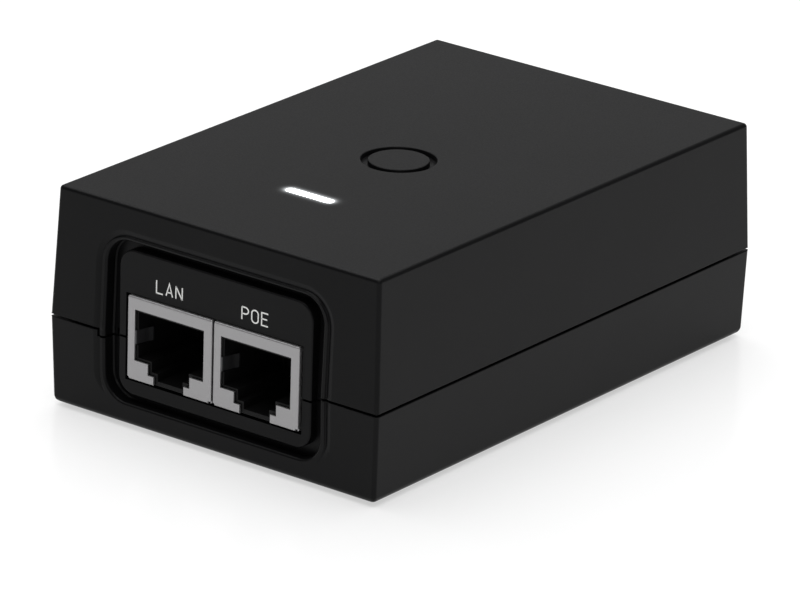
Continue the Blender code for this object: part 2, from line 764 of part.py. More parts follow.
def make_disc_part(name, centre, radius, thickness, material):
    """Dipped disc, such as a varistor or a safety capacitor, standing on edge."""
    return cylinder(name, (centre[0], centre[1], SEAT + radius), radius, thickness, "Y", material,
                    bevel=0.5)


def make_choke(core_material, wire_material):
    """Common-mode choke: a rectangular ferrite frame with a winding on each upright leg."""
    x0, y0 = CHOKE_CENTRE
    outer = CHOKE_LEG_OFFSET + CHOKE_LEG / 2
    inner = CHOKE_LEG_OFFSET - CHOKE_LEG / 2
    depth = (y0 - CHOKE_DEPTH / 2, y0 + CHOKE_DEPTH / 2)
    core = block("choke_core", (x0 - outer, x0 + outer), depth, (SEAT, SEAT + CHOKE_HEIGHT),
                 core_material)
    window = block("choke_window", (x0 - inner, x0 + inner), (depth[0] - 1, depth[1] + 1),
                   (SEAT + 2.3, SEAT + CHOKE_HEIGHT - 2.3))
    cut(core, window)
    for name, side in (("left", -1), ("right", 1)):
        x = x0 + side * CHOKE_LEG_OFFSET
        height = (SEAT + 2.6, SEAT + CHOKE_HEIGHT - 2.6)
        winding = block(f"choke_winding_{name}", (x - 3.2, x + 3.2), (y0 - 4.4, y0 + 4.4), height,
                        wire_material, bevel=1.0)
        reach = CHOKE_LEG / 2 + GAP
        hole = block(f"choke_hole_{name}", (x - reach, x + reach),
                     (depth[0] - GAP, depth[1] + GAP), (height[0] - 1, height[1] + 1))
        cut(winding, hole)


def make_transformer(core_material, bobbin_material, tape_material):
    """Flyback transformer: ferrite frame, bobbin on the centre leg, and the taped winding."""
    x0, y0 = TRANSFORMER_CENTRE
    base = TRANSFORMER_BASE
    top = base + TRANSFORMER_HEIGHT
    depth = (y0 - TRANSFORMER_DEPTH / 2, y0 + TRANSFORMER_DEPTH / 2)
    core = block("transformer_core", (x0 - TRANSFORMER_HALF_WIDTH, x0 + TRANSFORMER_HALF_WIDTH),
                 depth, (base, top), core_material)
    window = (base + TRANSFORMER_YOKE, top - TRANSFORMER_YOKE)
    for side in (-1, 1):
        near = side * TRANSFORMER_LEG
        far = side * (TRANSFORMER_HALF_WIDTH - TRANSFORMER_YOKE)
        span = sorted((x0 + near, x0 + far))
        cut(core, block(f"core_window_{side:+d}", span, (depth[0] - 1, depth[1] + 1), window))

    leg = (TRANSFORMER_LEG + GAP, TRANSFORMER_DEPTH / 2 + GAP)
    tube = (leg[0] + 0.8, leg[1] + 0.8)
    flange = (TRANSFORMER_HALF_WIDTH - TRANSFORMER_YOKE - GAP, leg[1] + 3.2)
    floor, roof = window[0] + GAP, window[1] - GAP
    bobbin = block("transformer_bobbin", (x0 - tube[0], x0 + tube[0]), (y0 - tube[1], y0 + tube[1]),
                   (floor, roof), bobbin_material)
    for name, low, high in (("low", floor, floor + 0.8), ("high", roof - 0.8, roof)):
        fuse(bobbin, block(f"bobbin_flange_{name}", (x0 - flange[0], x0 + flange[0]),
                           (y0 - flange[1], y0 + flange[1]), (low, high)))
    cut(bobbin, block("bobbin_hole", (x0 - leg[0], x0 + leg[0]), (y0 - leg[1], y0 + leg[1]),
                      (floor - 1, roof + 1)))

    inner = (tube[0] + GAP, tube[1] + GAP)
    outer = (flange[0] - 0.4, flange[1] - 0.4)
    coil = (floor + 0.8 + GAP, roof - 0.8 - GAP)
    winding = block("transformer_winding", (x0 - outer[0], x0 + outer[0]),
                    (y0 - outer[1], y0 + outer[1]), coil, tape_material, bevel=0.8)
    cut(winding, block("winding_hole", (x0 - inner[0], x0 + inner[0]),
                       (y0 - inner[1], y0 + inner[1]), (coil[0] - 2, coil[1] + 2)))


def make_power_device(name, plate_x, y, material):
    """Three-legged power device standing against the inner side of its heatsink."""
    tab = block(name, (plate_x - 1.6, plate_x - GAP), (y - 5.0, y + 5.0),
                (SEAT + 3.0, SEAT + 18.0), material)
    body = block(f"{name}_body", (plate_x - 4.7, plate_x - 0.9), (y - 4.9, y + 4.9),
                 (SEAT + 3.0, SEAT + 12.0))
    fuse(tab, body)
    for index in (-1, 0, 1):
        leg_y = y + 2.54 * index
        leg = block(f"{name}_leg_{index:+d}", (plate_x - 3.1, plate_x - 2.4),
                    (leg_y - 0.4, leg_y + 0.4), (SEAT, SEAT + 4.0))
        fuse(tab, leg)
    hole = cylinder(f"{name}_tab_hole", (plate_x - 1.0, y, SEAT + 15.4), 1.7, 4, "X", sides=12)
    cut(tab, hole)
    return tab


def make_heatsink(name, plate_x, y, height, material):
    """Bent aluminium plate: an upright wall with a short foot turned outwards."""
    wall = block(name, (plate_x, plate_x + 1.5), y, (SEAT, SEAT + height), material)
    lip = block(f"{name}_lip", (plate_x + 0.5, plate_x + 3.4), y,
                (SEAT + height - 1.5, SEAT + height))
    fuse(wall, lip)
    return wall


def make_board_parts():
    epoxy = make_material("black_epoxy", EPOXY_BLACK, 0.5)
    ferrite = make_material("ferrite", FERRITE, 0.55)
    enamelled = make_material("enamelled_copper", COPPER, 0.35, 1.0)
    tape = make_material("winding_tape", TAPE_YELLOW, 0.45)
    film = make_material("film_capacitor_yellow", FILM_YELLOW, 0.4)
    disc = make_material("disc_blue", DISC_BLUE, 0.4)
    sleeve = make_material("capacitor_sleeve", SLEEVE_BLUE, 0.35)
    aluminium = make_material("aluminium", ALUMINIUM, 0.4, 1.0)
    glass = make_material("fuse_ceramic", SHEET_WHITE, 0.3)

    make_choke(ferrite, enamelled)
    make_transformer(ferrite, epoxy, tape)
    make_fuse(glass)
    make_disc_part("varistor", (21.8, 28.0), 4.0, 3.6, disc)
    make_disc_part("y_capacitor", (-20.0, -5.8), 4.0, 2.4, disc)
    block("x_capacitor", (-19.2, -11.6), (26.5, 41.0), (SEAT, SEAT + 13.5), film, bevel=0.4)
    block("bridge_rectifier", (10.9, 18.9), (19.3, 24.9), (SEAT, SEAT + 3.1), epoxy, bevel=0.3)
    make_capacitor("bulk_capacitor", -18.3, 4.5, 7.0, 20.5, sleeve)
    make_capacitor("output_capacitor_1", 10.5, -19.0, 4.0, 16.0, sleeve)
    make_capacitor("output_capacitor_2", 10.5, -9.9, 4.0, 16.0, sleeve)
    make_heatsink("heatsink_primary", 20.8, (-3.0, 20.0), 19.5, aluminium)
    make_power_device("mosfet", 20.8, 13.0, epoxy)
    make_heatsink("heatsink_output", 21.0, (-24.0, -6.0), 19.5, aluminium)
    make_power_device("output_diode", 21.0, -15.0, epoxy)
    block("optocoupler", (14.2, 18.8), (-4.2, 2.4), (SEAT, SEAT + 3.4), epoxy, bevel=0.3)
    block("lan_transformer", (-20.5, -6.5), (-23.5, -8.5), (SEAT, SEAT + 5.6), epoxy, bevel=0.3)
    make_inductor("output_inductor", 0.5, -11.5, enamelled)


def make_inductor(name, x, y, material):
    """Drum choke: a wound waist between two ferrite flanges."""
    profile = [
        (0.0, 9.5),
        (4.3, 9.5),
        (4.3, 8.3),
        (3.7, 8.1),
        (3.7, 1.4),
        (4.3, 1.2),
        (4.3, 0.0),
        (0.0, 0.0),
    ]
    return turned(name, profile, (x, y, SEAT), material)


# ---------------------------------------------------------------- assembly

def build():
    case_black = make_material("case_plastic", CASE_BLACK, 0.45)
    cutters = [*groove_cutters(), port_window(), inlet_window()]
    make_top_shell(case_black, cutters)
    make_bottom_shell(case_black, cutters)

    steel = make_material("screw_steel", STEEL, 0.35, 1.0)
    rubber = make_material("foot_rubber", RUBBER_BLACK, 0.85)
    for name, x, y in screw_places():
        make_screw(name, x, y, steel)
        make_foot(name, x, y, rubber)
    make_wall_bracket(make_material("bracket_plastic", CASE_BLACK, 0.5))

    make_light_pipe(make_material("light_pipe_clear", LIGHT_WHITE, 0.3))
    make_status_led(make_material("led_white", LIGHT_WHITE, 0.4))

    shield_steel = make_material("shield_steel", SHIELD_GREY, 0.5, 1.0)
    socket_black = make_material("socket_plastic", SOCKET_BLACK, 0.5)
    gold = make_material("contact_gold", GOLD, 0.25, 1.0)
    for port, centre in JACK_CENTRES.items():
        make_shield(port, centre, shield_steel)
        make_insulator(port, centre, socket_black)
        make_contacts(port, centre, gold)

    make_inlet_body(make_material("inlet_plastic", SOCKET_BLACK, 0.5))
    brass = make_material("inlet_brass", BRASS, 0.3, 1.0)
    for name, (x, z) in INLET_PIN_POSITIONS.items():
        make_inlet_pin(name, x, z, brass)

    make_main_pcb(make_material("board_laminate", BOARD_GREEN, 0.5))
    make_insulation_sheet(make_material("insulation_film", SHEET_WHITE, 0.6))
    make_board_parts()


build()
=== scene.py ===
"""Looks of the PoE injector: detailed pieces, materials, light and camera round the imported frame.

Lengths are in millimetres and become metres through MM.  X is the width, Y the length towards the
mains inlet, and Z is up from the floor.  Pieces are built in place, with their objects at the
origin, in the same frame as the CAD nodes.
"""
import json
import math

import bmesh
import bpy
from mathutils import Matrix, Vector


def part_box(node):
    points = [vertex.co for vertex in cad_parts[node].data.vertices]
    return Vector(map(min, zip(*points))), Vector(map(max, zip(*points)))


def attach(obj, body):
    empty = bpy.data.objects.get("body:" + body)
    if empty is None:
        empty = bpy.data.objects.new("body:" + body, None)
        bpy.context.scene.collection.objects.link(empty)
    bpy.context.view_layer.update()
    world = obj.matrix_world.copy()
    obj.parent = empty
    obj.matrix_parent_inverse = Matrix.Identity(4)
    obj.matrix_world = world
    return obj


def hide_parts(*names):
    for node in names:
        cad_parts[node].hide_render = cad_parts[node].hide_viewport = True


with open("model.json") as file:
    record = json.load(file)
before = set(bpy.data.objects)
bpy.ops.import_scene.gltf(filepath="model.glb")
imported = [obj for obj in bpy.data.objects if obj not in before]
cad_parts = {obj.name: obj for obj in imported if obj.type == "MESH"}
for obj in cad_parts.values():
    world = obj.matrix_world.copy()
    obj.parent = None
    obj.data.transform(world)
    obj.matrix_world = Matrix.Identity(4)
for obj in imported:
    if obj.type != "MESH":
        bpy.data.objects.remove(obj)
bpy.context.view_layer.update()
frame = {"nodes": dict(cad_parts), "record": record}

MM = 0.001
GAP = 0.3
SOFT_EDGE = 0.12                # rounding of moulded and cut edges

# Case: two mouldings that meet at the parting line
WIDTH = 59.7
LENGTH = 90.5
CASE_BOTTOM = 0.5
CASE_TOP = 33.85
PARTING = 14.0
PARTING_GAP = 0.34
PARTING_CHAMFER = 0.14
WALL = 2.2
TOP_DRAFT = 0.77
BOTTOM_DRAFT = 0.36
TOP_EDGE = 0.6
SIDE_EDGE = 0.6
BOTTOM_EDGE = 1.0
EDGE_SEGMENTS = 8
FRONT = -LENGTH / 2
REAR = LENGTH / 2

# Relief on the front: a fine V line, a flat lip, a deep groove, and the port panel inside it
V_HALF = 20.7
V_LOW = CASE_BOTTOM + 2.4
V_HIGH = CASE_BOTTOM + 28.66
V_RADIUS = 4.7
V_DEPTH = 0.28
V_FADE = (CASE_BOTTOM + 2.0, CASE_BOTTOM + 8.0)
V_LIFT = 0.06                   # how far the cutter stands off the face once faded
GROOVE_HALF = 19.67
GROOVE_LOW = CASE_BOTTOM + 3.4
GROOVE_HIGH = CASE_BOTTOM + 28.05
GROOVE_RADIUS = 3.9
GROOVE_DEPTH = 2.1
GROOVE_CHAMFER = 0.2
LIP_FILLET = 0.45
PANEL_HALF = 17.6
PANEL_LOW = CASE_BOTTOM + 4.7
PANEL_HIGH = CASE_BOTTOM + 26.8
PANEL_RADIUS = 2.8
PANEL_RECESS = 0.8
PANEL_FILLET = 0.28
CORNER_STEPS = 14
FILLET_STEPS = 6

# How far the parting line drops over each span of X across the groove and panel
PARTING_STEPS = ((-20.9, -18.7, 1.0), (-18.7, 0.0, 0.2), (0.0, 18.7, 1.3))

# Tongue of the lower moulding that locates the upper one
TONGUE_ROOT = 2.3
TONGUE_RISE = 1.5
TONGUE_THICKNESS = 0.9
TONGUE_SETBACK = 0.35           # behind the inner face of the wall

# Screws, feet and their recesses
SCREW_X = 22.9
SCREW_Y = 37.4
SCREW_HEAD_RADIUS = 2.7
SCREW_HEAD_HEIGHT = 1.9
SCREW_CROSS = (1.25, 0.28)      # half length and half width of each arm
SCREW_SEAT = 4.2
SCREW_SEAT_RADIUS = 3.0
THREAD_RADII = (1.1, 1.4)
THREAD_PITCH = 1.2
THREAD_TURNS = 9
BOSS_RADIUS = 3.2
BOSS_BORE = 1.7
BOSS_BORE_TOP = 23.0
SHOULDER_RADIUS = 4.9
SHOULDER_TOP = 5.4
FOOT_RADIUS = 4.5
FOOT_HEIGHT = 1.4
BELOW = -2.0                    # under everything, for cutters that open downwards

# Bracket on the underside, and its channel
CHANNEL_FRONT = -24.0
CHANNEL_HALF = 17.6
CHANNEL_MOUTH = 15.0
CHANNEL_LIP = 1.3
CHANNEL_CEILING = 3.2
CHANNEL_ROOF = 1.4
BRACKET_HALF = 14.6
BRACKET_HOLES = (-12.0, 30.0)
HOLE_RADIUS = 2.1
SINK_RADIUS = 4.0
BRACKET_POCKET_X = (6.5, 12.5)
BRACKET_POCKET_Y = (-4.0, 22.0)
LATCH_HALF = 4.0
LATCH_LENGTH = 7.0
LATCH_SETBACK = 2.5
LATCH_SLIT = 0.8

# Modular jacks.  Each row of WINDOW and MOUTH is a half width, and a low and high height
JACK_CENTRES = {"lan": -7.9, "poe": 7.9}
JACK_FACE = FRONT + 0.3
JACK_HALF = 7.75
JACK_BOTTOM = CASE_BOTTOM + 7.3
JACK_TOP = JACK_BOTTOM + 12.75
JACK_DEPTH = 18.0
SHEET = 0.3                     # thickness of the tin plate
WINDOW = ((6.35, 3.05, 10.85), (3.85, 1.35, 4.0), (2.78, -1.0, 2.0))
MOUTH = ((5.95, 3.45, 10.45), (3.4, 1.85, 4.0), (2.3, 0.75, 2.4))
MOUTH_DEPTH = 12.6
PORT_WINDOW_X = (-16.3, 15.95)
FINGER_LOW = JACK_BOTTOM + 5.5
FINGER_HIGH = JACK_BOTTOM + 7.6
FINGER_SHEET = 0.2
CONTACT_PITCH = 1.02
POCKET_HALF = 4.35
POCKET_FRONT = 3.95             # behind the jack's face
POCKET_LOW = JACK_BOTTOM + 9.9
POCKET_HIGH = JACK_BOTTOM + 11.75
COMB_COUNT = 9
COMB_HALF = 0.14
COMB_LOW = JACK_BOTTOM + 3.6
COMB_HIGH = JACK_BOTTOM + 8.0

# Light bar and engraved ring on the top
LIGHT_CENTRE = (0.4, -23.9)
LIGHT_HALF = (4.25, 0.8)
LIGHT_CLEARANCE = 0.05
LIGHT_STRENGTH = (0.4, 6.0)     # at the foot of the bar and at its top
GLOW_REACH = 0.28               # how far the glow spreads into the plastic round the bar
GLOW_STRENGTH = 0.9
RING_CENTRE = (0.5, -3.25)
RING_RADII = (4.5, 5.6)
RING_DEPTH = 0.7
RING_STEPS = 96

# Mains inlet
INLET_HALF = 10.25
INLET_PINS = {"line": (-3.5, 14.1), "neutral": (3.5, 14.1), "earth": (0.0, 18.9)}
INLET_LOBE = 4.3
INLET_FLOOR = 29.5
INLET_SLACK = 0.2
PIN_RADIUS = 1.15

# Printed function marks above the jacks: each word, and where it starts
MARKS = {"lan": ("LAN", -10.75), "poe": ("POE", 4.85)}
MARK_ADVANCE = 1.78
MARK_WIDTH = 0.62               # of a letter, as a share of its height
MARK_HEIGHT = 2.1
MARK_STROKE = 0.21
MARK_LOW = CASE_BOTTOM + 21.35
MARK_INK = 0.02

# Studio, in metres and watts: each lamp's name, place, size, power and the point it faces
LAMPS = (
    ("overhead", (-0.18, 0.12, 1.6), (2.2, 2.2), 36.0, (0.0, 0.0, 0.015)),
    ("back_box", (-0.68, 0.54, 0.83), (0.4, 0.4), 0.6, (0.0, 0.0, 0.015)),
    ("back_card", (-0.45, 0.55, 0.16), (1.0, 0.26), 0.27, (0.0, 0.0, 0.034)),
    ("camera_side", (0.85, -1.12, 0.62), (0.5, 0.5), 1.6, (0.0, 0.0, 0.015)),
)
WHITE = (1.0, 1.0, 1.0, 1.0)
WORLD_STRENGTH = 0.22
FLOOR_HALF = 2.5
FLOOR_GLOW = 0.53

# Camera, in millimetres; RIGHT and UP shift it across its line of sight
LENS = 293.8
SENSOR_WIDTH = 36.0
CAMERA_TARGET = (0.0, 0.0, 17.175)
CAMERA_AZIMUTH = math.radians(37.09)
CAMERA_ELEVATION = math.radians(20.82)
CAMERA_ROLL = math.radians(1.74)
CAMERA_DISTANCE = 956.3
CAMERA_RIGHT = -0.95
CAMERA_UP = -5.8

PIECES = bpy.context.scene.collection


# ---------------- materials

def fill_inputs(node, values):
    """Set a node's inputs by name, with _ for a space."""
    for name, value in values.items():
        node.inputs[name.replace("_", " ")].default_value = value


class Shader:
    """A Principled material with helpers that add its texture nodes."""

    def __init__(self, name):
        self.material = bpy.data.materials.new(name)
        self.material.use_nodes = True
        self.nodes = self.material.node_tree.nodes
        self.links = self.material.node_tree.links
        self.main = self.nodes["Principled BSDF"]
        self.place = self.nodes.new("ShaderNodeTexCoord").outputs["Object"]

    def set(self, **values):
        fill_inputs(self.main, values)

    def node(self, kind, **values):
        added = self.nodes.new(f"ShaderNode{kind}")
        fill_inputs(added, values)
        return added

    def link(self, source, target):
        self.links.new(source, target)

    def along(self, axis):
        """Where the surface point lies along an axis, in metres."""
        split = self.node("SeparateXYZ")
        self.link(self.place, split.inputs["Vector"])
        return split.outputs[axis]

    def noise(self, size, detail=2.0, stretch=(1.0, 1.0, 1.0)):
        """Noise whose features are about size millimetres across."""
        mapping = self.node("Mapping", Scale=stretch)
        self.link(self.place, mapping.inputs["Vector"])
        texture = self.node("TexNoise", Scale=1.0 / (size * MM), Detail=detail)
        self.link(mapping.outputs["Vector"], texture.inputs["Vector"])
        return texture.outputs["Fac"]

    def remap(self, source, low, high, start=0.3, end=0.7):
        node = self.node("MapRange", From_Min=start, From_Max=end, To_Min=low, To_Max=high)
        self.link(source, node.inputs["Value"])
        return node.outputs["Result"]

    def colour(self, source, low, high, start=0.35, end=0.65):
        """Base colour from low to high as the source goes from start to end."""
        node = self.node("ValToRGB")
        stops = node.color_ramp.elements
        stops[0].position = start
        stops[0].color = (*low, 1.0)
        stops[1].position = end
        stops[1].color = (*high, 1.0)
        self.link(source, node.inputs["Fac"])
        self.link(node.outputs["Color"], self.main.inputs["Base Color"])

    def roughness(self, source, low, high):
        self.link(self.remap(source, low, high), self.main.inputs["Roughness"])

    def bump(self, source, height):
        """Raise the surface by up to height millimetres."""
        node = self.node("Bump", Distance=height * MM, Strength=1.0)
        self.link(source, node.inputs["Height"])
        if self.main.inputs["Normal"].is_linked:
            earlier = self.main.inputs["Normal"].links[0].from_socket
            self.link(earlier, node.inputs["Normal"])
        self.link(node.outputs["Normal"], self.main.inputs["Normal"])

    def maths(self, operation, first, second=None):
        node = self.node("Math")
        node.operation = operation
        for socket, value in zip(node.inputs, (first, second)):
            if isinstance(value, (int, float)):
                socket.default_value = value
            elif value is not None:
                self.link(value, socket)
        return node.outputs["Value"]

    def vector(self, operation, first, second=None):
        node = self.node("VectorMath")
        node.operation = operation
        self.link(first, node.inputs[0])
        if second is not None:
            node.inputs[1].default_value = second
        return node.outputs["Value" if operation == "LENGTH" else "Vector"]


def scaled(colour, factor):
    return tuple(channel * factor for channel in colour)


def moulded(name, colour, roughness, grain, depth, specular=0.5, cloud=0.12):
    """Moulded plastic or rubber with a fine spark-eroded grain and faint large-scale clouding."""
    shader = Shader(name)
    shader.set(Specular_IOR_Level=specular)
    large = shader.noise(14.0)
    shader.colour(large, scaled(colour, 1.0 - cloud), scaled(colour, 1.0 + cloud))
    fine = shader.noise(grain, 1.0)
    shader.roughness(fine, roughness - 0.05, roughness + 0.05)
    shader.bump(fine, depth)
    return shader


def metal(name, colour, roughness, grain, stretch=(1, 1, 1), depth=0.003, spread=0.08):
    """Bare or plated metal with rolling or polishing marks."""
    shader = Shader(name)
    shader.set(Metallic=1.0)
    marks = shader.noise(grain, 3.0, stretch)
    shader.colour(marks, scaled(colour, 1.0 - spread), scaled(colour, 1.0 + spread))
    shader.roughness(marks, roughness - 0.06, roughness + 0.06)
    shader.bump(marks, depth)
    return shader


def case_plastic():
    """Fine-textured matt black moulding that picks up the light bar's glow next to its slot."""
    shader = moulded("case_black_texture", (0.0037, 0.0037, 0.004), 0.34, 0.2, 0.009, 0.1, 0.1)
    centre = (*scaled(LIGHT_CENTRE, MM), CASE_TOP * MM)
    radius = LIGHT_HALF[1] * MM
    half = (LIGHT_HALF[0] * MM - radius, 0.0, 10 * MM)
    offset = shader.vector("ABSOLUTE", shader.vector("SUBTRACT", shader.place, centre))
    outside = shader.vector("MAXIMUM", shader.vector("SUBTRACT", offset, half), (0.0, 0.0, 0.0))
    distance = shader.maths("SUBTRACT", shader.vector("LENGTH", outside), radius)
    glow = shader.maths("EXPONENT", shader.maths("MULTIPLY", distance, -1.0 / (GLOW_REACH * MM)))
    on_top = shader.maths("GREATER_THAN", shader.along("Z"), (CASE_TOP - TOP_EDGE) * MM)
    lit = shader.maths("MULTIPLY", shader.maths("MULTIPLY", glow, on_top), GLOW_STRENGTH)
    shader.set(Emission_Color=(0.95, 0.98, 1.0, 1.0))
    shader.link(lit, shader.main.inputs["Emission Strength"])
    return shader


def light_plastic():
    """Clear diffusing bar, lit from below: bright at the top, dim down the stem."""
    shader = moulded("light_bar_diffuser", (0.85, 0.88, 0.92), 0.35, 0.4, 0.004, 0.5, 0.03)
    lit = shader.remap(shader.along("Z"), *LIGHT_STRENGTH, (CASE_TOP - 2.0) * MM,
                       (CASE_TOP - 0.3) * MM)
    shader.set(Emission_Color=(0.97, 0.99, 1.0, 1.0))
    shader.link(lit, shader.main.inputs["Emission Strength"])
    return shader


def shield_plate():
    """Matt tin plate: a fine cloudy bloom with faint rolling lines."""
    shader = metal("jack_shield_tin", (0.37, 0.365, 0.37), 0.5, 0.16, (1, 1, 1), 0.002, 0.05)
    lines = shader.noise(0.12, 2.0, (0.06, 1.0, 1.0))
    shader.bump(lines, 0.0015)
    return shader


def finger_painted_shade():
    """Tin of the grounding fingers coloured as painted shade inside the mouth, with a painted
    highlight at the front fold and a little at the tip.
    """
    shader = moulded("finger_tin_painted_shade", (0.05, 0.05, 0.052), 0.5, 0.25, 0.002, 0.3, 0.04)
    depth = shader.along("Y")
    # fold and tip mark the painted highlight; the rest of the finger is painted shade
    fold = shader.remap(depth, 1.0, 0.0, JACK_FACE * MM, (JACK_FACE + 0.5) * MM)
    tip = shader.remap(depth, 0.0, 0.2, (JACK_FACE + 2.2) * MM, (JACK_FACE + 2.7) * MM)
    shader.colour(shader.maths("MAXIMUM", fold, tip), (0.01, 0.01, 0.011), (0.14, 0.14, 0.145))
    return shader.material


def board_laminate():
    """Green solder mask, brighter over square areas of copper."""
    shader = moulded("board_green_mask", (0.01, 0.085, 0.035), 0.38, 0.5, 0.002, 0.5, 0.0)
    cells = shader.node("TexVoronoi", Scale=1.0 / (4.0 * MM))
    cells.distance = "CHEBYCHEV"
    shader.link(shader.place, cells.inputs["Vector"])
    shader.colour(cells.outputs["Distance"], (0.012, 0.11, 0.045), (0.006, 0.06, 0.025), 0.3, 0.36)
    return shader


def wound(name, colour, pitch, roughness):
    """Enamelled wire laid in turns, as ridges one wire apart up the winding."""
    shader = Shader(name)
    shader.set(Metallic=0.85)
    wave = shader.node("TexWave", Scale=0.314 / (pitch * MM), Distortion=0.3)
    wave.bands_direction = "Z"
    shader.link(shader.place, wave.inputs["Vector"])
    # The colour is darker in the grooves between turns and lighter on the crests: painted shade and
    # painted highlight.
    shader.colour(wave.outputs["Fac"], scaled(colour, 0.45), scaled(colour, 1.1), 0.0, 0.7)
    shader.roughness(shader.noise(0.5), roughness - 0.08, roughness + 0.08)
    shader.bump(wave.outputs["Fac"], pitch * 0.4)
    return shader


def banded(name, colour, band_colour, band, roughness):
    """A sleeve or tape with one band of another colour between two values of X."""
    shader = moulded(name, colour, roughness, 0.6, 0.002)
    above = shader.maths("GREATER_THAN", shader.along("X"), band[0] * MM)
    below = shader.maths("LESS_THAN", shader.along("X"), band[1] * MM)
    shader.colour(shader.maths("MULTIPLY", above, below), colour, band_colour, 0.4, 0.6)
    return shader


def speckled(name, colour, speckle, size, roughness):
    """A ground or cast surface with small pale speckles."""
    shader = moulded(name, colour, roughness, size, 0.01)
    cells = shader.noise(size * 0.6, 4.0)
    shader.colour(cells, colour, speckle, 0.52, 0.72)
    return shader


def make_materials():
    """One finish for each of the record's material slots."""
    finishes = {
        "case_plastic": case_plastic(),
        "foot_rubber": moulded("foot_rubber_matt", (0.012, 0.012, 0.013), 0.8, 0.35, 0.02, 0.3),
        "screw_steel": metal("screw_zinc", (0.55, 0.56, 0.6), 0.32, 0.25),
        "bracket_plastic": moulded("bracket_black_texture", (0.008, 0.008, 0.009), 0.5, 0.25,
                                   0.01, 0.2),
        "light_pipe_clear": light_plastic(),
        "led_white": moulded("led_package", (0.75, 0.76, 0.74), 0.35, 0.2, 0.002),
        "shield_steel": shield_plate(),
        "socket_plastic": moulded("socket_black", (0.0045, 0.0045, 0.0047), 0.4, 0.25, 0.006, 0.12),
        "contact_gold": metal("contact_gold_plate", (0.78, 0.55, 0.2), 0.24, 0.1, (1, 0.1, 0.1)),
        "inlet_plastic": moulded("inlet_black", (0.007, 0.007, 0.008), 0.4, 0.3, 0.006, 0.3),
        "inlet_brass": metal("pin_nickel", (0.66, 0.63, 0.56), 0.25, 0.12, (1, 0.08, 1)),
        "board_laminate": board_laminate(),
        "insulation_film": moulded("film_milky", (0.7, 0.7, 0.64), 0.3, 1.5, 0.004),
        "black_epoxy": speckled("epoxy_black", (0.012, 0.012, 0.012), (0.03, 0.03, 0.03), 0.2,
                                0.45),
        "ferrite": speckled("ferrite_ground", (0.03, 0.03, 0.034), (0.07, 0.07, 0.075), 0.3,
                            0.5),
        "enamelled_copper": wound("wire_enamelled", (0.5, 0.2, 0.07), 0.45, 0.35),
        "winding_tape": moulded("tape_yellow", (0.62, 0.42, 0.05), 0.3, 1.2, 0.004),
        "film_capacitor_yellow": moulded("film_box_yellow", (0.6, 0.4, 0.03), 0.3, 0.8, 0.003),
        "disc_blue": speckled("disc_dipped_blue", (0.015, 0.06, 0.25), (0.03, 0.1, 0.32), 0.5,
                              0.25),
        "capacitor_sleeve": banded("sleeve_dark_blue", (0.01, 0.02, 0.06), (0.4, 0.42, 0.45),
                                   (6.5, 7.4), 0.28),
        "aluminium": metal("aluminium_rolled", (0.6, 0.61, 0.63), 0.38, 0.2, (1, 0.05, 1)),
        "fuse_ceramic": speckled("fuse_tube", (0.68, 0.67, 0.62), (0.78, 0.77, 0.72), 0.4, 0.3),
    }
    return {slot: shader.material for slot, shader in finishes.items()}


MATERIALS = make_materials()
INK_WHITE = moulded("ink_white", (0.8, 0.8, 0.78), 0.5, 0.25, 0.002, 0.5, 0.04).material
# Grounding-finger finish: painted shade, with painted highlights at the front fold and tip
FINGER_PAINTED_SHADE = finger_painted_shade()


# ---------------- shape helpers (millimetres in)

def point(x, y, z):
    return Vector((x, y, z)) * MM


def from_shape(name, shape, smooth=32):
    """Turn a bmesh into an object; edges sharper than smooth degrees stay crisp."""
    bmesh.ops.recalc_face_normals(shape, faces=shape.faces)
    mesh = bpy.data.meshes.new(name)
    shape.to_mesh(mesh)
    shape.free()
    item = bpy.data.objects.new(name, mesh)
    PIECES.objects.link(item)
    soften(mesh, smooth)
    return item


def soften(mesh, smooth):
    mesh.shade_smooth()
    mesh.set_sharp_from_angle(angle=math.radians(smooth))


def block(name, x, y, z, radius=0.0, steps=3):
    """A box between the low and high values of x, y and z, with its edges rounded."""
    size = point(x[1] - x[0], y[1] - y[0], z[1] - z[0])
    centre = point(sum(x) / 2, sum(y) / 2, sum(z) / 2)
    shape = bmesh.new()
    matrix = Matrix.Translation(centre) @ Matrix.Diagonal((*size, 1.0))
    bmesh.ops.create_cube(shape, size=1.0, matrix=matrix)
    if radius:
        bmesh.ops.bevel(shape, geom=shape.edges[:], offset=radius * MM, segments=steps,
                        profile=0.5, affect="EDGES")
    return from_shape(name, shape)


def lathe(name, profile, centre, axis="Z", steps=48, smooth=32):
    """A solid of revolution from (radius, height) points, closed where the radius is zero."""
    shape = bmesh.new()
    rings = []
    for radius, height in profile:
        count = steps if radius > 0 else 1
        ring = []
        for index in range(count):
            angle = 2 * math.pi * index / steps
            a, b = radius * math.cos(angle), radius * math.sin(angle)
            offset = (b, height, a) if axis == "Y" else (a, b, height)
            ring.append(shape.verts.new(point(*centre) + point(*offset)))
        rings.append(ring)
    for first, second in zip(rings, rings[1:]):
        for index in range(steps):
            after = (index + 1) % steps
            corners = [first[index % len(first)], first[after % len(first)],
                       second[after % len(second)], second[index % len(second)]]
            corners = list(dict.fromkeys(corners))
            if len(corners) > 2:
                shape.faces.new(corners)
    return from_shape(name, shape, smooth)


def skin(shape, rings, closed):
    """Join equal rings of points; a closed skin joins its last ring to its first."""
    rows = [[shape.verts.new(place) for place in ring] for ring in rings]
    pairs = list(zip(rows, rows[1:]))
    if closed:
        pairs.append((rows[-1], rows[0]))
    else:
        shape.faces.new(rows[0])
        shape.faces.new(rows[-1])
    count = len(rows[0])
    for first, second in pairs:
        for index in range(count):
            after = (index + 1) % count
            shape.faces.new((first[index], first[after], second[after], second[index]))


def loft(name, rings, closed=False):
    shape = bmesh.new()
    skin(shape, rings, closed)
    return from_shape(name, shape)


def about(half, middle=0.0):
    """The span that reaches half to each side of a middle."""
    return middle - half, middle + half


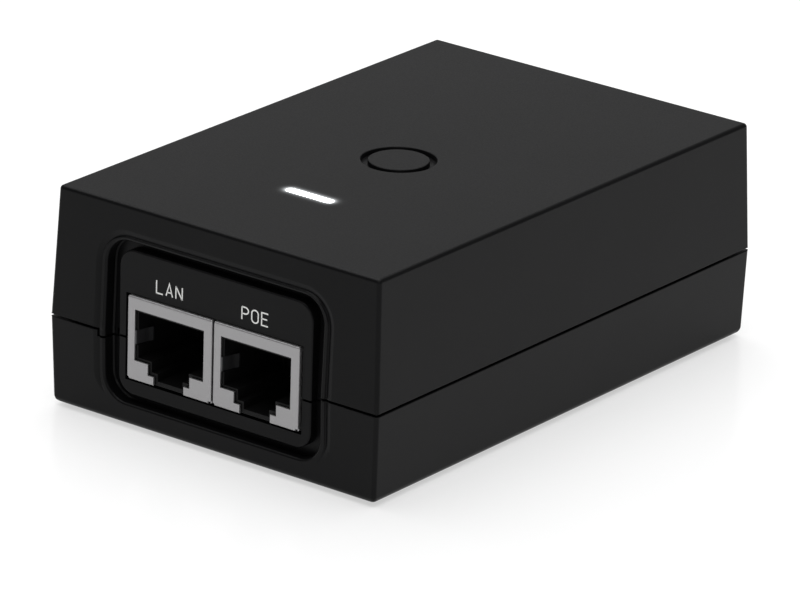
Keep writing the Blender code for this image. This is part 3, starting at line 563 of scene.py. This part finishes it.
def mirrored_blocks(name, middle, x, y, z, radius=0.0):
    """The same block on each side of a middle, between two distances from it."""
    return [block(f"{name}_{side:+d}", sorted(middle + side * value for value in x), y, z, radius)
            for side in (-1, 1)]


def arc(x, y, radius_x, radius_y, start, end, steps=12):
    """Points on an ellipse about (x, y) between two angles in degrees."""
    points = []
    for index in range(steps + 1):
        angle = math.radians(start + (end - start) * index / steps)
        points.append((x + radius_x * math.cos(angle), y + radius_y * math.sin(angle)))
    return points


def rounded_outline(half_width, low, high, radius):
    """Corner-rounded outline in X and Z with a point on each side at the parting line."""
    corners = (
        (half_width - radius, low + radius, -90),
        (half_width - radius, high - radius, 0),
        (radius - half_width, high - radius, 90),
        (radius - half_width, low + radius, 180),
    )
    outline = []
    for index, (x, z, start) in enumerate(corners):
        if index == 1:
            outline.append((half_width, PARTING))
        if index == 3:
            outline.append((-half_width, PARTING))
        outline += arc(x, z, radius, radius, start, start + 90, CORNER_STEPS)
    return outline


def boolean(item, operation, others):
    for other in others:
        modifier = item.modifiers.new(operation.lower(), "BOOLEAN")
        modifier.operation = operation
        modifier.solver = "EXACT"
        modifier.object = other


def cut(item, *others):
    boolean(item, "DIFFERENCE", others)


def fuse(item, *others):
    boolean(item, "UNION", others)


def round_edges(item, width, segments):
    """Bevel the sharp edges of a piece."""
    bevel = item.modifiers.new("round_edges", "BEVEL")
    bevel.width = width * MM
    bevel.segments = segments
    bevel.limit_method = "ANGLE"
    return bevel


def finish_cuts(item, tools, smooth=32):
    """Apply a piece's modifiers, take its tools out of the scene, and give it clean normals."""
    bpy.context.view_layer.update()
    evaluated = item.evaluated_get(bpy.context.evaluated_depsgraph_get())
    mesh = bpy.data.meshes.new_from_object(evaluated)
    item.modifiers.clear()
    item.data = mesh
    mesh.name = item.name
    soften(mesh, smooth)
    normals = item.modifiers.new("even_normals", "WEIGHTED_NORMAL")
    normals.keep_sharp = True
    discard(tools)


def discard(items):
    """Take tools out of the scene once every piece that uses them is finished."""
    for item in items:
        bpy.data.objects.remove(item, do_unlink=True)


def join(name, items):
    """Merge shapes into one piece."""
    shape = bmesh.new()
    for item in items:
        shape.from_mesh(item.data)
    discard(items)
    return from_shape(name, shape)


def assign(item, slot, *nodes, body="case", material=None):
    """Give a piece its finish and its body, and hide the CAD nodes it stands for."""
    item.data.materials.clear()
    item.data.materials.append(material or MATERIALS[slot])
    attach(item, body)
    if nodes:
        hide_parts(*nodes)


def cad_box(node):
    """A CAD node's lowest and highest corners, in millimetres."""
    return [[value / MM for value in corner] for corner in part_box(node)]


# ---------------- case

def face_y(z):
    """Y of the outer front face at height z: each half leans back from the parting line."""
    if z >= PARTING:
        return FRONT + TOP_DRAFT * (z - PARTING) / (CASE_TOP - PARTING)
    return FRONT + BOTTOM_DRAFT * (PARTING - z) / (PARTING - CASE_BOTTOM)


def tapered_shell(name, half_low, half_high, z, weights):
    """Tapered box whose vertical, low and high edges are rounded by their own radii."""
    shape = bmesh.new()
    bmesh.ops.create_cube(shape, size=2.0)
    for vertex in shape.verts:
        high = vertex.co.z > 0
        half = half_high if high else half_low
        vertex.co.x *= half[0] * MM
        vertex.co.y *= half[1] * MM
        vertex.co.z = (z[1] if high else z[0]) * MM
    if weights:
        widest = max(weights)
        layer = shape.edges.layers.float.new("bevel_weight_edge")
        for edge in shape.edges:
            heights = sorted(vertex.co.z / MM for vertex in edge.verts)
            if heights[1] - heights[0] > 1.0:
                edge[layer] = weights[0] / widest
            elif heights[0] > sum(z) / 2:
                edge[layer] = weights[2] / widest
            else:
                edge[layer] = weights[1] / widest
    item = from_shape(name, shape)
    if weights:
        bevel = item.modifiers.new("round_edges", "BEVEL")
        bevel.width = widest * MM
        bevel.segments = EDGE_SEGMENTS
        bevel.limit_method = "WEIGHT"
    return item


def case_half(draft, inset=0.0):
    return WIDTH / 2 - draft - inset, LENGTH / 2 - draft - inset


def lean_ring(half_width, low, high, radius, depth):
    """Outline at a depth below the leaning outer face."""
    return [point(x, face_y(z) + depth, z)
            for x, z in rounded_outline(half_width, low, high, radius)]


def upright_ring(half_width, low, high, radius, y):
    return [point(x, y, z) for x, z in rounded_outline(half_width, low, high, radius)]


def groove_and_panel_cutter():
    """Everything in front of the panel and groove, with the lip's and panel's fillets built in."""
    def outer(offset, depth):
        return lean_ring(GROOVE_HALF + offset, GROOVE_LOW - offset, GROOVE_HIGH + offset,
                         GROOVE_RADIUS + offset, depth)

    def inner(offset, y):
        return upright_ring(PANEL_HALF - offset, PANEL_LOW + offset, PANEL_HIGH - offset,
                            PANEL_RADIUS - offset, y)

    edge = (GROOVE_HALF + LIP_FILLET, GROOVE_LOW - LIP_FILLET, GROOVE_HIGH + LIP_FILLET,
            GROOVE_RADIUS + LIP_FILLET)
    rings = [upright_ring(*edge, FRONT - 2)]
    for step in range(1, FILLET_STEPS + 1):
        angle = math.radians(90 * step / FILLET_STEPS)
        rings.append(outer(LIP_FILLET * (1 - math.sin(angle)), LIP_FILLET * (1 - math.cos(angle))))
    rings.append(outer(0.0, GROOVE_DEPTH - GROOVE_CHAMFER))
    rings.append(outer(-GROOVE_CHAMFER, GROOVE_DEPTH))
    rings.append(lean_ring(PANEL_HALF, PANEL_LOW, PANEL_HIGH, PANEL_RADIUS, GROOVE_DEPTH))
    for step in range(FILLET_STEPS + 1):
        angle = math.radians(90 * step / FILLET_STEPS)
        rings.append(inner(PANEL_FILLET * (1 - math.cos(angle)),
                           FRONT + PANEL_RECESS + PANEL_FILLET * (1 - math.sin(angle))))
    return loft("relief_cutter", rings)


def fade(z):
    """1 above the span where the V line dies out, 0 below it."""
    share = (z - V_FADE[0]) / (V_FADE[1] - V_FADE[0])
    share = min(max(share, 0.0), 1.0)
    return share * share * (3 - 2 * share)


def v_line_cutter():
    """Shallow asymmetric groove round the lip, which fades out towards the underside."""
    section = ((1.25, -0.05), (0.85, 0.03), (0.5, 0.1), (0.2, 0.21), (0.0, V_DEPTH),
               (-0.1, 0.2), (-0.22, -0.05), (-0.22, -1.0), (1.25, -1.0))
    rings = []
    for offset, depth in section:
        outline = rounded_outline(V_HALF + offset, V_LOW - offset, V_HIGH + offset,
                                  V_RADIUS + offset)
        ring = []
        for x, z in outline:
            drop = depth if depth < 0 else (depth + V_LIFT) * fade(z) - V_LIFT
            ring.append(point(x, face_y(z) + drop, z))
        rings.append(ring)
    return loft("v_line_cutter", rings, closed=True)


def case_cutters():
    port_window = block("port_window", PORT_WINDOW_X, (FRONT - 1, FRONT + 4.5),
                        (JACK_BOTTOM - 0.45, JACK_TOP + 0.12))
    inlet_low, inlet_high = cad_box("inlet_body")
    inlet_window = block("inlet_window", about(INLET_HALF + INLET_SLACK), (REAR - 4.5, REAR + 1),
                         (inlet_low[2] - INLET_SLACK, inlet_high[2] + INLET_SLACK), 0.3)
    return [groove_and_panel_cutter(), v_line_cutter(), port_window, inlet_window]


def screw_places():
    for row, y in (("front", -SCREW_Y), ("rear", SCREW_Y)):
        for side, x in (("left", -SCREW_X), ("right", SCREW_X)):
            yield f"{row}_{side}", x, y


def rod(name, x, y, low, high, radius):
    return lathe(name, [(0, high), (radius, high), (radius, low), (0, low)], (x, y, 0.0))


def light_slot(clearance, low, high, radius):
    """Upright rounded slot or bar for the light on the top."""
    half_x = LIGHT_HALF[0] + clearance
    half_y = LIGHT_HALF[1] + clearance
    outline = []
    for x, y, start in ((1, -1, -90), (1, 1, 0), (-1, 1, 90), (-1, -1, 180)):
        outline += arc(LIGHT_CENTRE[0] + x * (half_x - radius),
                       LIGHT_CENTRE[1] + y * (half_y - radius),
                       radius, radius, start, start + 90, FILLET_STEPS)
    return loft("light_slot", [[point(x, y, z) for x, y in outline] for z in (low, high)])


def make_case_top(cutters):
    low = PARTING + PARTING_GAP / 2
    outer = tapered_shell("case_top", case_half(0.0), case_half(TOP_DRAFT), (low, CASE_TOP),
                          (SIDE_EDGE, PARTING_CHAMFER, TOP_EDGE))
    cavity = tapered_shell("top_cavity", case_half(0.0, WALL), case_half(TOP_DRAFT, WALL),
                           (low - 0.5, CASE_TOP - WALL), None)
    skirts = []
    for left, right, drop in PARTING_STEPS:
        skirts.append(block("step_skirt", (left + PARTING_GAP / 2, right - PARTING_GAP / 2),
                            (FRONT + 0.02, FRONT + WALL), (low - drop, low + 1.0)))
    cut(outer, cavity)
    fuse(outer, *skirts)
    slot = light_slot(LIGHT_CLEARANCE, CASE_TOP - 2 * WALL, CASE_TOP + 1,
                      LIGHT_HALF[1] + LIGHT_CLEARANCE)
    recess = ring_cutter()
    cut(outer, *cutters, slot, recess)
    tools = [cavity, *skirts, slot, recess]
    for name, x, y in screw_places():
        boss = rod(f"top_boss_{name}", x, y, PARTING, CASE_TOP - WALL / 2, BOSS_RADIUS)
        bore = rod(f"top_bore_{name}", x, y, PARTING - 1, BOSS_BORE_TOP, BOSS_BORE)
        fuse(outer, boss)
        cut(outer, bore)
        tools += [boss, bore]
    finish_cuts(outer, tools)
    assign(outer, "case_plastic", "top_shell")


def make_case_bottom(cutters):
    high = PARTING - PARTING_GAP / 2
    outer = tapered_shell("case_bottom", case_half(BOTTOM_DRAFT), case_half(0.0),
                          (CASE_BOTTOM, high), (SIDE_EDGE, BOTTOM_EDGE, PARTING_CHAMFER))
    cavity = tapered_shell("bottom_cavity", case_half(BOTTOM_DRAFT, WALL), case_half(0.0, WALL),
                           (CASE_BOTTOM + WALL, high + 0.5), None)
    tongue, tongue_tools = make_tongue(high)
    cut(outer, cavity)
    fuse(outer, tongue)
    steps = []
    for left, right, drop in PARTING_STEPS:
        steps.append(block("step_cutter", (left - PARTING_GAP / 2, right + PARTING_GAP / 2),
                           (FRONT - 1, FRONT + WALL + 0.2), (high - drop, high + 1)))
    cut(outer, *steps, *cutters)
    roof = block("channel_roof", about(CHANNEL_HALF + 2), (CHANNEL_FRONT - 2, REAR - 1),
                 (CASE_BOTTOM + 0.5, CHANNEL_CEILING + CHANNEL_ROOF))
    fuse(outer, roof)
    tools = [cavity, tongue, *tongue_tools, *steps, roof]
    for name, x, y in screw_places():
        low = CASE_BOTTOM + 1
        boss = rod(f"bottom_boss_{name}", x, y, low, PARTING - 0.5, BOSS_RADIUS)
        shoulder = rod(f"shoulder_{name}", x, y, low, SHOULDER_TOP, SHOULDER_RADIUS)
        fuse(outer, shoulder, boss)
        tools += [boss, shoulder]
    recess = [(0, FOOT_HEIGHT + 0.3), (FOOT_RADIUS + 0.2, FOOT_HEIGHT + 0.3),
              (FOOT_RADIUS + 0.2, CASE_BOTTOM + 0.2), (FOOT_RADIUS + 0.6, CASE_BOTTOM - 0.2),
              (FOOT_RADIUS + 0.6, BELOW), (0, BELOW)]
    screw_hole = [(0, PARTING + 2), (BOSS_BORE, PARTING + 2), (BOSS_BORE, SCREW_SEAT),
                  (SCREW_SEAT_RADIUS, SCREW_SEAT), (SCREW_SEAT_RADIUS, BELOW), (0, BELOW)]
    for name, x, y in screw_places():
        foot_recess = lathe(f"foot_recess_{name}", recess, (x, y, 0.0))
        bore = lathe(f"screw_bore_{name}", screw_hole, (x, y, 0.0))
        cut(outer, foot_recess, bore)
        tools += [foot_recess, bore]
    wide = block("channel_wide", about(CHANNEL_HALF), (CHANNEL_FRONT, REAR + 1),
                 (CHANNEL_LIP, CHANNEL_CEILING))
    mouth = block("channel_mouth", about(CHANNEL_MOUTH), (CHANNEL_FRONT, REAR + 1),
                  (CASE_BOTTOM - 1, CHANNEL_LIP + 0.5))
    cut(outer, wide, mouth)
    finish_cuts(outer, [*tools, wide, mouth])
    assign(outer, "case_plastic", "bottom_shell")


def make_tongue(high):
    """The lower moulding's tongue, which stands inside the upper one, and its two cutters."""
    x, y = case_half(0.0, WALL + TONGUE_SETBACK)
    tongue = block("tongue", about(x), about(y), (high - TONGUE_ROOT, high + TONGUE_RISE))
    hollow = block("tongue_hollow", about(x - TONGUE_THICKNESS), about(y - TONGUE_THICKNESS),
                   (high - TONGUE_ROOT - 1, high + TONGUE_RISE + 1))
    x, y = case_half(0.0, WALL / 2)
    root = block("tongue_root", about(x), about(y), (high - TONGUE_ROOT, high - 0.3))
    fuse(tongue, root)
    cut(tongue, hollow)
    return tongue, (root, hollow)


def make_case():
    cutters = case_cutters()
    make_case_top(cutters)
    make_case_bottom(cutters)
    discard(cutters)


# ---------------- top details

def make_light_bar():
    """Diffusing bar, its flange under the roof and the stem that stands over the LED."""
    low, high = cad_box("light_pipe")
    bar = light_slot(0.0, CASE_TOP - WALL - 2, high[2], LIGHT_HALF[1] - 0.001)
    bar.name = "light_bar"
    round_edges(bar, SOFT_EDGE, 3)
    roof = CASE_TOP - WALL
    x, y = LIGHT_CENTRE
    flange = block("light_flange", (low[0], high[0]), (low[1], high[1]), (roof - 1.4, roof - 0.3),
                   0.2)
    stem = block("light_stem", about(2.0, x), about(0.75, y), (low[2], roof - 1.0), 0.2)
    fuse(bar, flange, stem)
    finish_cuts(bar, [flange, stem])
    assign(bar, "light_pipe_clear", "light_pipe")


def ring_cutter():
    """Plain engraved ring with rounded lips, as a decoration on the top."""
    inner, outer = RING_RADII
    section = ((outer + 0.2, 0.6), (outer + 0.14, -0.01), (outer + 0.04, -0.05), (outer, -0.15),
               (outer - 0.05, -RING_DEPTH), (inner + 0.05, -RING_DEPTH), (inner, -0.15),
               (inner - 0.04, -0.05), (inner - 0.14, -0.01), (inner - 0.2, 0.6))
    rings = []
    for radius, height in section:
        circle = arc(*RING_CENTRE, radius, radius, 0, 360, RING_STEPS)
        rings.append([point(x, y, CASE_TOP + height) for x, y in circle[:-1]])
    return loft("ring_cutter", rings, closed=True)


# ---------------- function marks

def stroke(shape, path, width, y, closed):
    """Add a mitred line along a path of (x, z) points, as a thin layer of ink."""
    count = len(path)
    rings = []
    for index, here in enumerate(path):
        before = path[index - 1] if closed or index else here
        after = path[(index + 1) % count] if closed or index < count - 1 else here
        directions = []
        for start, end in ((before, here), (here, after)):
            run = Vector((end[0] - start[0], end[1] - start[1]))
            if run.length > 0:
                directions.append(run.normalized())
        tangent = sum(directions, Vector((0.0, 0.0))).normalized()
        normal = Vector((-tangent.y, tangent.x))
        stretch = width / 2 / max(normal.dot(Vector((-directions[0].y, directions[0].x))), 0.4)
        left = (here[0] + normal.x * stretch, here[1] + normal.y * stretch)
        right = (here[0] - normal.x * stretch, here[1] - normal.y * stretch)
        rings.append([point(x, depth, z) for depth, (x, z) in (
            (y, left), (y, right), (y - MARK_INK, right), (y - MARK_INK, left))])
    skin(shape, rings, closed)


def letter_paths(letter, width):
    """Paths of a plain letter, one unit high and width wide.  Only the O closes on itself."""
    half = width / 2
    return {
        "A": [[(0, 0), (half, 1), (width, 0)], [(width * 0.17, 0.3), (width * 0.83, 0.3)]],
        "E": [[(width, 1), (0, 1), (0, 0), (width, 0)], [(0, 0.52), (width * 0.85, 0.52)]],
        "L": [[(0, 1), (0, 0), (width, 0)]],
        "N": [[(0, 0), (0, 1)], [(0, 1), (width, 0)], [(width, 0), (width, 1)]],
        "O": [arc(half, 0.72, half, 0.28, 0, 180) + arc(half, 0.28, half, 0.28, 180, 360)],
        "P": [[(0, 0), (0, 1)],
              [(0, 1), (half, 1), *arc(half, 0.74, half, 0.26, 90, -90), (0, 0.48)]],
    }[letter]


def make_mark(port, text, start):
    """A word in plain strokes on the port panel above its jack."""
    shape = bmesh.new()
    unit = MARK_HEIGHT - MARK_STROKE
    low = MARK_LOW + MARK_STROKE / 2
    for index, letter in enumerate(text):
        left = start + index * MARK_ADVANCE
        for path in letter_paths(letter, MARK_WIDTH):
            placed = [(left + x * unit, low + z * unit) for x, z in path]
            stroke(shape, placed, MARK_STROKE, FRONT + PANEL_RECESS, letter == "O")
    mark = from_shape(f"mark_{port}", shape, 20)
    assign(mark, "case_plastic", material=INK_WHITE)


# ---------------- modular jacks

def keyed_cutters(name, centre, spans, y):
    """Cutters for the plug's opening: body, key step and latch slot."""
    cutters = []
    for index, (half, low, high) in enumerate(spans):
        cutters.append(block(f"{name}_{index}", about(half, centre), y,
                             (JACK_BOTTOM + low, JACK_BOTTOM + high)))
    return cutters


def make_shield(port, centre):
    """Folded tin-plate can with its stamped window, cut lower corners and grounding fingers."""
    back = JACK_FACE + JACK_DEPTH
    can = block(f"{port}_jack_shield", about(JACK_HALF, centre), (JACK_FACE, back),
                (JACK_BOTTOM, JACK_TOP), 0.28, 4)
    inner = JACK_HALF - SHEET
    hollow = block("hollow", about(inner, centre), (JACK_FACE + SHEET, back - SHEET),
                   (JACK_BOTTOM - 1, JACK_TOP - SHEET))
    window = keyed_cutters("window", centre, WINDOW, (JACK_FACE - 1, JACK_FACE + 1))
    flat = block("lower_rim", about(9, centre), (JACK_FACE - 1, back + 1),
                 (JACK_BOTTOM - 1, JACK_BOTTOM + 0.02))
    corners = mirrored_blocks("corner", centre, (JACK_HALF - 0.45, JACK_HALF + 1),
                              (JACK_FACE - 1, JACK_FACE + SHEET + 0.1),
                              (JACK_BOTTOM - 1, JACK_BOTTOM + 0.4))
    slots = mirrored_blocks("side_slot", centre, (JACK_HALF - 1, JACK_HALF + 1),
                            (JACK_FACE + 6.0, JACK_FACE + 12.0),
                            (JACK_BOTTOM + 2.0, JACK_BOTTOM + 3.2))
    tools = [hollow, *window, flat, *corners, *slots]
    cut(can, *tools)
    finish_cuts(can, tools)
    fingers = [make_finger(centre, side) for side in (-1, 1)]
    joined = join(f"{port}_grounding_fingers", fingers)
    # the fingers' finish is painted shade with painted highlights, not the shield's tin
    assign(joined, "shield_steel", material=FINGER_PAINTED_SHADE)
    assign(can, "shield_steel", f"{port}_shield")


def make_finger(centre, side):
    """Springy leaf folded back into the mouth from the edge of the window."""
    route = ((6.75, 0.02), (6.45, 0.03), (6.31, 0.09), (6.22, 0.25), (6.12, 0.7), (5.98, 1.3),
             (5.86, 1.8), (5.82, 2.2), (5.6, 2.7), (5.42, 3.1), (5.48, 3.4), (5.75, 3.8))
    rings = []
    for x, y in route:
        near = (centre + side * x, JACK_FACE + y)
        if y < 0.1:             # flat against the can's face
            far = (near[0], near[1] + FINGER_SHEET * 0.9)
        else:
            far = (centre + side * (x + FINGER_SHEET), near[1])
        rings.append([point(*near, FINGER_LOW), point(*near, FINGER_HIGH),
                      point(*far, FINGER_HIGH), point(*far, FINGER_LOW)])
    return loft("finger", rings)


def make_socket(port, centre):
    """Moulded socket: keyed mouth, pocket and combs for the contacts, notches for the fingers."""
    wall = SHEET + 0.25
    half = JACK_HALF - wall
    front = JACK_FACE + SHEET + 0.1
    end = JACK_FACE + MOUTH_DEPTH
    body = block(f"{port}_socket", about(half, centre), (front, JACK_FACE + JACK_DEPTH - wall),
                 (JACK_BOTTOM, JACK_TOP - wall), 0.2, 3)
    mouth = keyed_cutters("mouth", centre, MOUTH, (front - 1, end))
    pocket = block("pocket", about(POCKET_HALF, centre), (JACK_FACE + POCKET_FRONT, end),
                   (POCKET_LOW, POCKET_HIGH))
    notch = block("finger_notch", about(6.5, centre), (front - 1, JACK_FACE + 2.0),
                  (FINGER_LOW - 0.1, FINGER_HIGH + 0.1))
    cut(body, *mouth, pocket, notch)
    combs = []
    for index in range(COMB_COUNT):
        x = centre + (index - COMB_COUNT // 2) * CONTACT_PITCH
        combs.append(block(f"comb_{index}", about(COMB_HALF, x), (end - 1.2, end + 0.3),
                           (COMB_LOW, COMB_HIGH), 0.05, 1))
    fuse(body, *combs)
    round_edges(body, 0.08, 2)
    finish_cuts(body, [*mouth, pocket, notch, *combs], 40)
    assign(body, "socket_plastic", f"{port}_insulator")


# ---------------- mains inlet

def make_inlet():
    """Moulded inlet with a clover-shaped cavity, chamfered at its mouth, and its three pins."""
    low, high = cad_box("inlet_body")
    face = high[1]
    body = block("inlet_housing", *zip(low, high), 0.35, 4)
    lobes = []
    for name, (x, z) in INLET_PINS.items():
        lobe = [(0, REAR + 1), (INLET_LOBE + 0.35, REAR + 1), (INLET_LOBE + 0.35, face + 0.01),
                (INLET_LOBE + 0.1, face - 0.12), (INLET_LOBE, face - 0.4),
                (INLET_LOBE, INLET_FLOOR), (0, INLET_FLOOR)]
        bore = [(0, 33.5), (PIN_RADIUS + GAP, 33.5), (PIN_RADIUS + GAP, 26.0), (0, 26.0)]
        lobes.append(lathe(f"lobe_{name}", lobe, (x, 0.0, z), "Y", 72))
        lobes.append(lathe(f"bore_{name}", bore, (x, 0.0, z), "Y", 36))
    cut(body, *lobes)
    finish_cuts(body, lobes, 34)
    assign(body, "inlet_plastic", "inlet_body")
    for name, (x, z) in INLET_PINS.items():
        low, high = cad_box(f"inlet_pin_{name}")
        tip = high[1]
        profile = [(0, tip), (0.35, tip), (0.75, tip - 0.3), (1.05, tip - 0.9),
                   (PIN_RADIUS, tip - 1.6), (PIN_RADIUS, low[1]), (0, low[1])]
        pin = lathe(f"mains_pin_{name}", profile, (x, 0.0, z), "Y", 40, 40)
        assign(pin, "inlet_brass", f"inlet_pin_{name}")


# ---------------- underside

def make_foot(name, x, y):
    """Round foot with a rolled edge and a shallow dimple underneath."""
    profile = [(0, FOOT_HEIGHT), (FOOT_RADIUS, FOOT_HEIGHT), (FOOT_RADIUS, 0.45),
               (FOOT_RADIUS - 0.1, 0.22), (FOOT_RADIUS - 0.35, 0.05), (FOOT_RADIUS - 0.7, 0.0),
               (1.3, 0.0), (1.1, 0.12), (0, 0.15)]
    foot = lathe(f"rubber_foot_{name}", profile, (x, y, 0.0), smooth=40)
    assign(foot, "foot_rubber", f"foot_{name}")


def make_screw(name, x, y):
    """Threaded screw with a cross recess in its head."""
    low, high = cad_box(f"case_screw_{name}")
    head, tip = low[2], high[2]
    root, crest = THREAD_RADII
    profile = [(0, tip), (0.4, tip - 0.4)]
    for index in range(THREAD_TURNS):
        height = tip - 2.0 - index * THREAD_PITCH
        profile += [(root, height + 0.45), (crest, height), (root, height - 0.45)]
    seat = head + SCREW_HEAD_HEIGHT
    profile += [(1.15, seat), (SCREW_HEAD_RADIUS, seat), (SCREW_HEAD_RADIUS, head + 0.7),
                (2.3, head + 0.2), (1.6, head), (0, head)]
    screw = lathe(f"screw_{name}", profile, (x, y, 0.0), steps=36)
    arms = []
    for index, (half_x, half_y) in enumerate((SCREW_CROSS, SCREW_CROSS[::-1])):
        arms.append(block(f"recess_{index}", about(half_x, x), about(half_y, y),
                          (head - 0.5, head + 1.1)))
    cut(screw, *arms)
    finish_cuts(screw, arms)
    assign(screw, "screw_steel", f"case_screw_{name}")


def make_bracket():
    """Slide-on wall plate: flanges, countersunk holes, shallow pockets and a springy latch."""
    (_, front, bottom), (flange_half, rear, top) = cad_box("wall_bracket")
    plate = block("slide_bracket", about(BRACKET_HALF), (front, rear), (bottom, top), 0.3)
    flange = block("flange", about(flange_half), (front, rear), (CHANNEL_LIP + GAP, top), 0.25)
    fuse(plate, flange)
    hole = [(0, 6), (SINK_RADIUS, 6), (SINK_RADIUS, top - 0.05),
            (HOLE_RADIUS, top - 1.4), (HOLE_RADIUS, -1), (0, -1)]
    tools = [lathe(f"hole_{y:.0f}", hole, (0.0, y, 0.0)) for y in BRACKET_HOLES]
    tip = rear - LATCH_SETBACK
    outside = LATCH_HALF + LATCH_SLIT
    slits = mirrored_blocks("slit", 0.0, (LATCH_HALF, outside), (tip - LATCH_LENGTH, tip), (-1, 6))
    pockets = mirrored_blocks("pocket", 0.0, BRACKET_POCKET_X, BRACKET_POCKET_Y,
                              (-1, bottom + 0.5), 0.3)
    for slit, pocket in zip(slits, pockets):
        tools += [slit, pocket]
    tools.append(block("slit_end", about(outside), (tip - LATCH_SLIT, tip), (-1, 6)))
    cut(plate, *tools)
    finish_cuts(plate, [flange, *tools])
    assign(plate, "bracket_plastic", "wall_bracket", body="wall_bracket")


# ---------------- parts inside

def can_profile(low, high, radius):
    """Side view of an electrolytic can: crimped foot, rolled top edge and scored lid."""
    return [
        (0, high - 0.25), (radius - 1.1, high - 0.25), (radius - 0.9, high), (radius - 0.45, high),
        (radius - 0.1, high - 0.2), (radius, high - 0.5), (radius, low + 2.7),
        (radius - 0.25, low + 2.45), (radius - 0.4, low + 2.1), (radius - 0.25, low + 1.75),
        (radius, low + 1.5), (radius, low + 0.3), (radius - 0.2, low), (0, low),
    ]


def footprint(node):
    """Middle, radius, and lowest and highest point of an upright round CAD node."""
    low, high = cad_box(node)
    middle = ((low[0] + high[0]) / 2, (low[1] + high[1]) / 2, 0.0)
    return middle, (high[0] - low[0]) / 2, low[2], high[2]


def make_round_parts():
    for node in ("bulk_capacitor", "output_capacitor_1", "output_capacitor_2"):
        middle, radius, base, top = footprint(node)
        can = lathe(f"{node}_can", can_profile(base, top, radius), middle, smooth=40)
        assign(can, "capacitor_sleeve", node)
    middle, radius, base, top = footprint("output_inductor")
    profile = [(0, top), (radius - 0.3, top), (radius, top - 0.3), (radius, top - 1.1)]
    height = top - 1.3
    while height > base + 1.6:
        profile += [(radius - 0.75, height), (radius - 0.5, height - 0.25)]
        height -= 0.5
    profile += [(radius - 0.75, base + 1.3), (radius, base + 1.1), (radius, base + 0.3),
                (radius - 0.3, base), (0, base)]
    drum = lathe("output_inductor_drum", profile, middle, smooth=25)
    assign(drum, "enamelled_copper", "output_inductor")


def dress_cad_nodes():
    """Give every CAD node the finish of its slot, and round the edges of the blocky ones."""
    slots = {row["node"]: row["material_slot"] for row in frame["record"]["subparts"]}
    for name, node in frame["nodes"].items():
        material = MATERIALS[slots[name]]
        for socket in node.material_slots:
            socket.material = material
        if not node.material_slots:
            node.data.materials.append(material)
        if node.hide_render or "contact" in name:
            continue
        bevel = round_edges(node, SOFT_EDGE, 2)
        bevel.angle_limit = math.radians(50)
        bevel.harden_normals = True


# ---------------- studio

def make_floor():
    """Wide pale table top, a little bright of itself so that it fades into the backdrop."""
    shape = bmesh.new()
    bmesh.ops.create_grid(shape, x_segments=2, y_segments=2, size=FLOOR_HALF)
    shader = moulded("floor_pale", (0.52, 0.52, 0.52), 0.2, 1.2, 0.0003, 0.5, 0.002)
    shader.set(Emission_Color=WHITE, Emission_Strength=FLOOR_GLOW)
    floor = from_shape("studio_floor", shape)
    floor.data.materials.append(shader.material)


def make_lamp(name, location, size, power, target):
    data = bpy.data.lights.new(name, "AREA")
    data.shape = "RECTANGLE"
    data.size, data.size_y = size
    data.energy = power
    lamp = bpy.data.objects.new(name, data)
    lamp.location = location
    lamp.rotation_euler = (Vector(target) - Vector(location)).to_track_quat("-Z", "Y").to_euler()
    PIECES.objects.link(lamp)


def make_studio():
    world = bpy.data.worlds.new("studio")
    world.use_nodes = True
    background = world.node_tree.nodes["Background"]
    fill_inputs(background, {"Color": WHITE, "Strength": WORLD_STRENGTH})
    bpy.context.scene.world = world
    for lamp in LAMPS:
        make_lamp(*lamp)
    bpy.context.scene.view_settings.view_transform = "Standard"


def make_camera():
    """Long lens at the object's front right, turned a little about its own axis."""
    azimuth, elevation = CAMERA_AZIMUTH, CAMERA_ELEVATION
    back = Vector((math.sin(azimuth) * math.cos(elevation),
                   -math.cos(azimuth) * math.cos(elevation), math.sin(elevation)))
    level = Vector((-back.y, back.x, 0.0)).normalized()
    rise = back.cross(level)
    right = level * math.cos(CAMERA_ROLL) + rise * math.sin(CAMERA_ROLL)
    up = rise * math.cos(CAMERA_ROLL) - level * math.sin(CAMERA_ROLL)
    place = Vector(CAMERA_TARGET) + back * CAMERA_DISTANCE + right * CAMERA_RIGHT + up * CAMERA_UP
    data = bpy.data.cameras.new("camera")
    data.lens = LENS
    data.sensor_width = SENSOR_WIDTH
    data.clip_start = 0.01
    data.clip_end = 20.0
    camera = bpy.data.objects.new("camera", data)
    turn = Matrix((right, up, back)).transposed().to_4x4()
    camera.matrix_world = Matrix.Translation(place * MM) @ turn
    PIECES.objects.link(camera)
    bpy.context.scene.camera = camera


# ---------------- assembly

def build():
    make_case()
    make_light_bar()
    for port, (text, start) in MARKS.items():
        make_mark(port, text, start)
    for port, centre in JACK_CENTRES.items():
        make_shield(port, centre)
        make_socket(port, centre)
    make_inlet()
    for name, x, y in screw_places():
        make_foot(name, x, y)
        make_screw(name, x, y)
    make_bracket()
    make_round_parts()
    dress_cad_nodes()
    make_floor()
    make_studio()
    make_camera()


build()
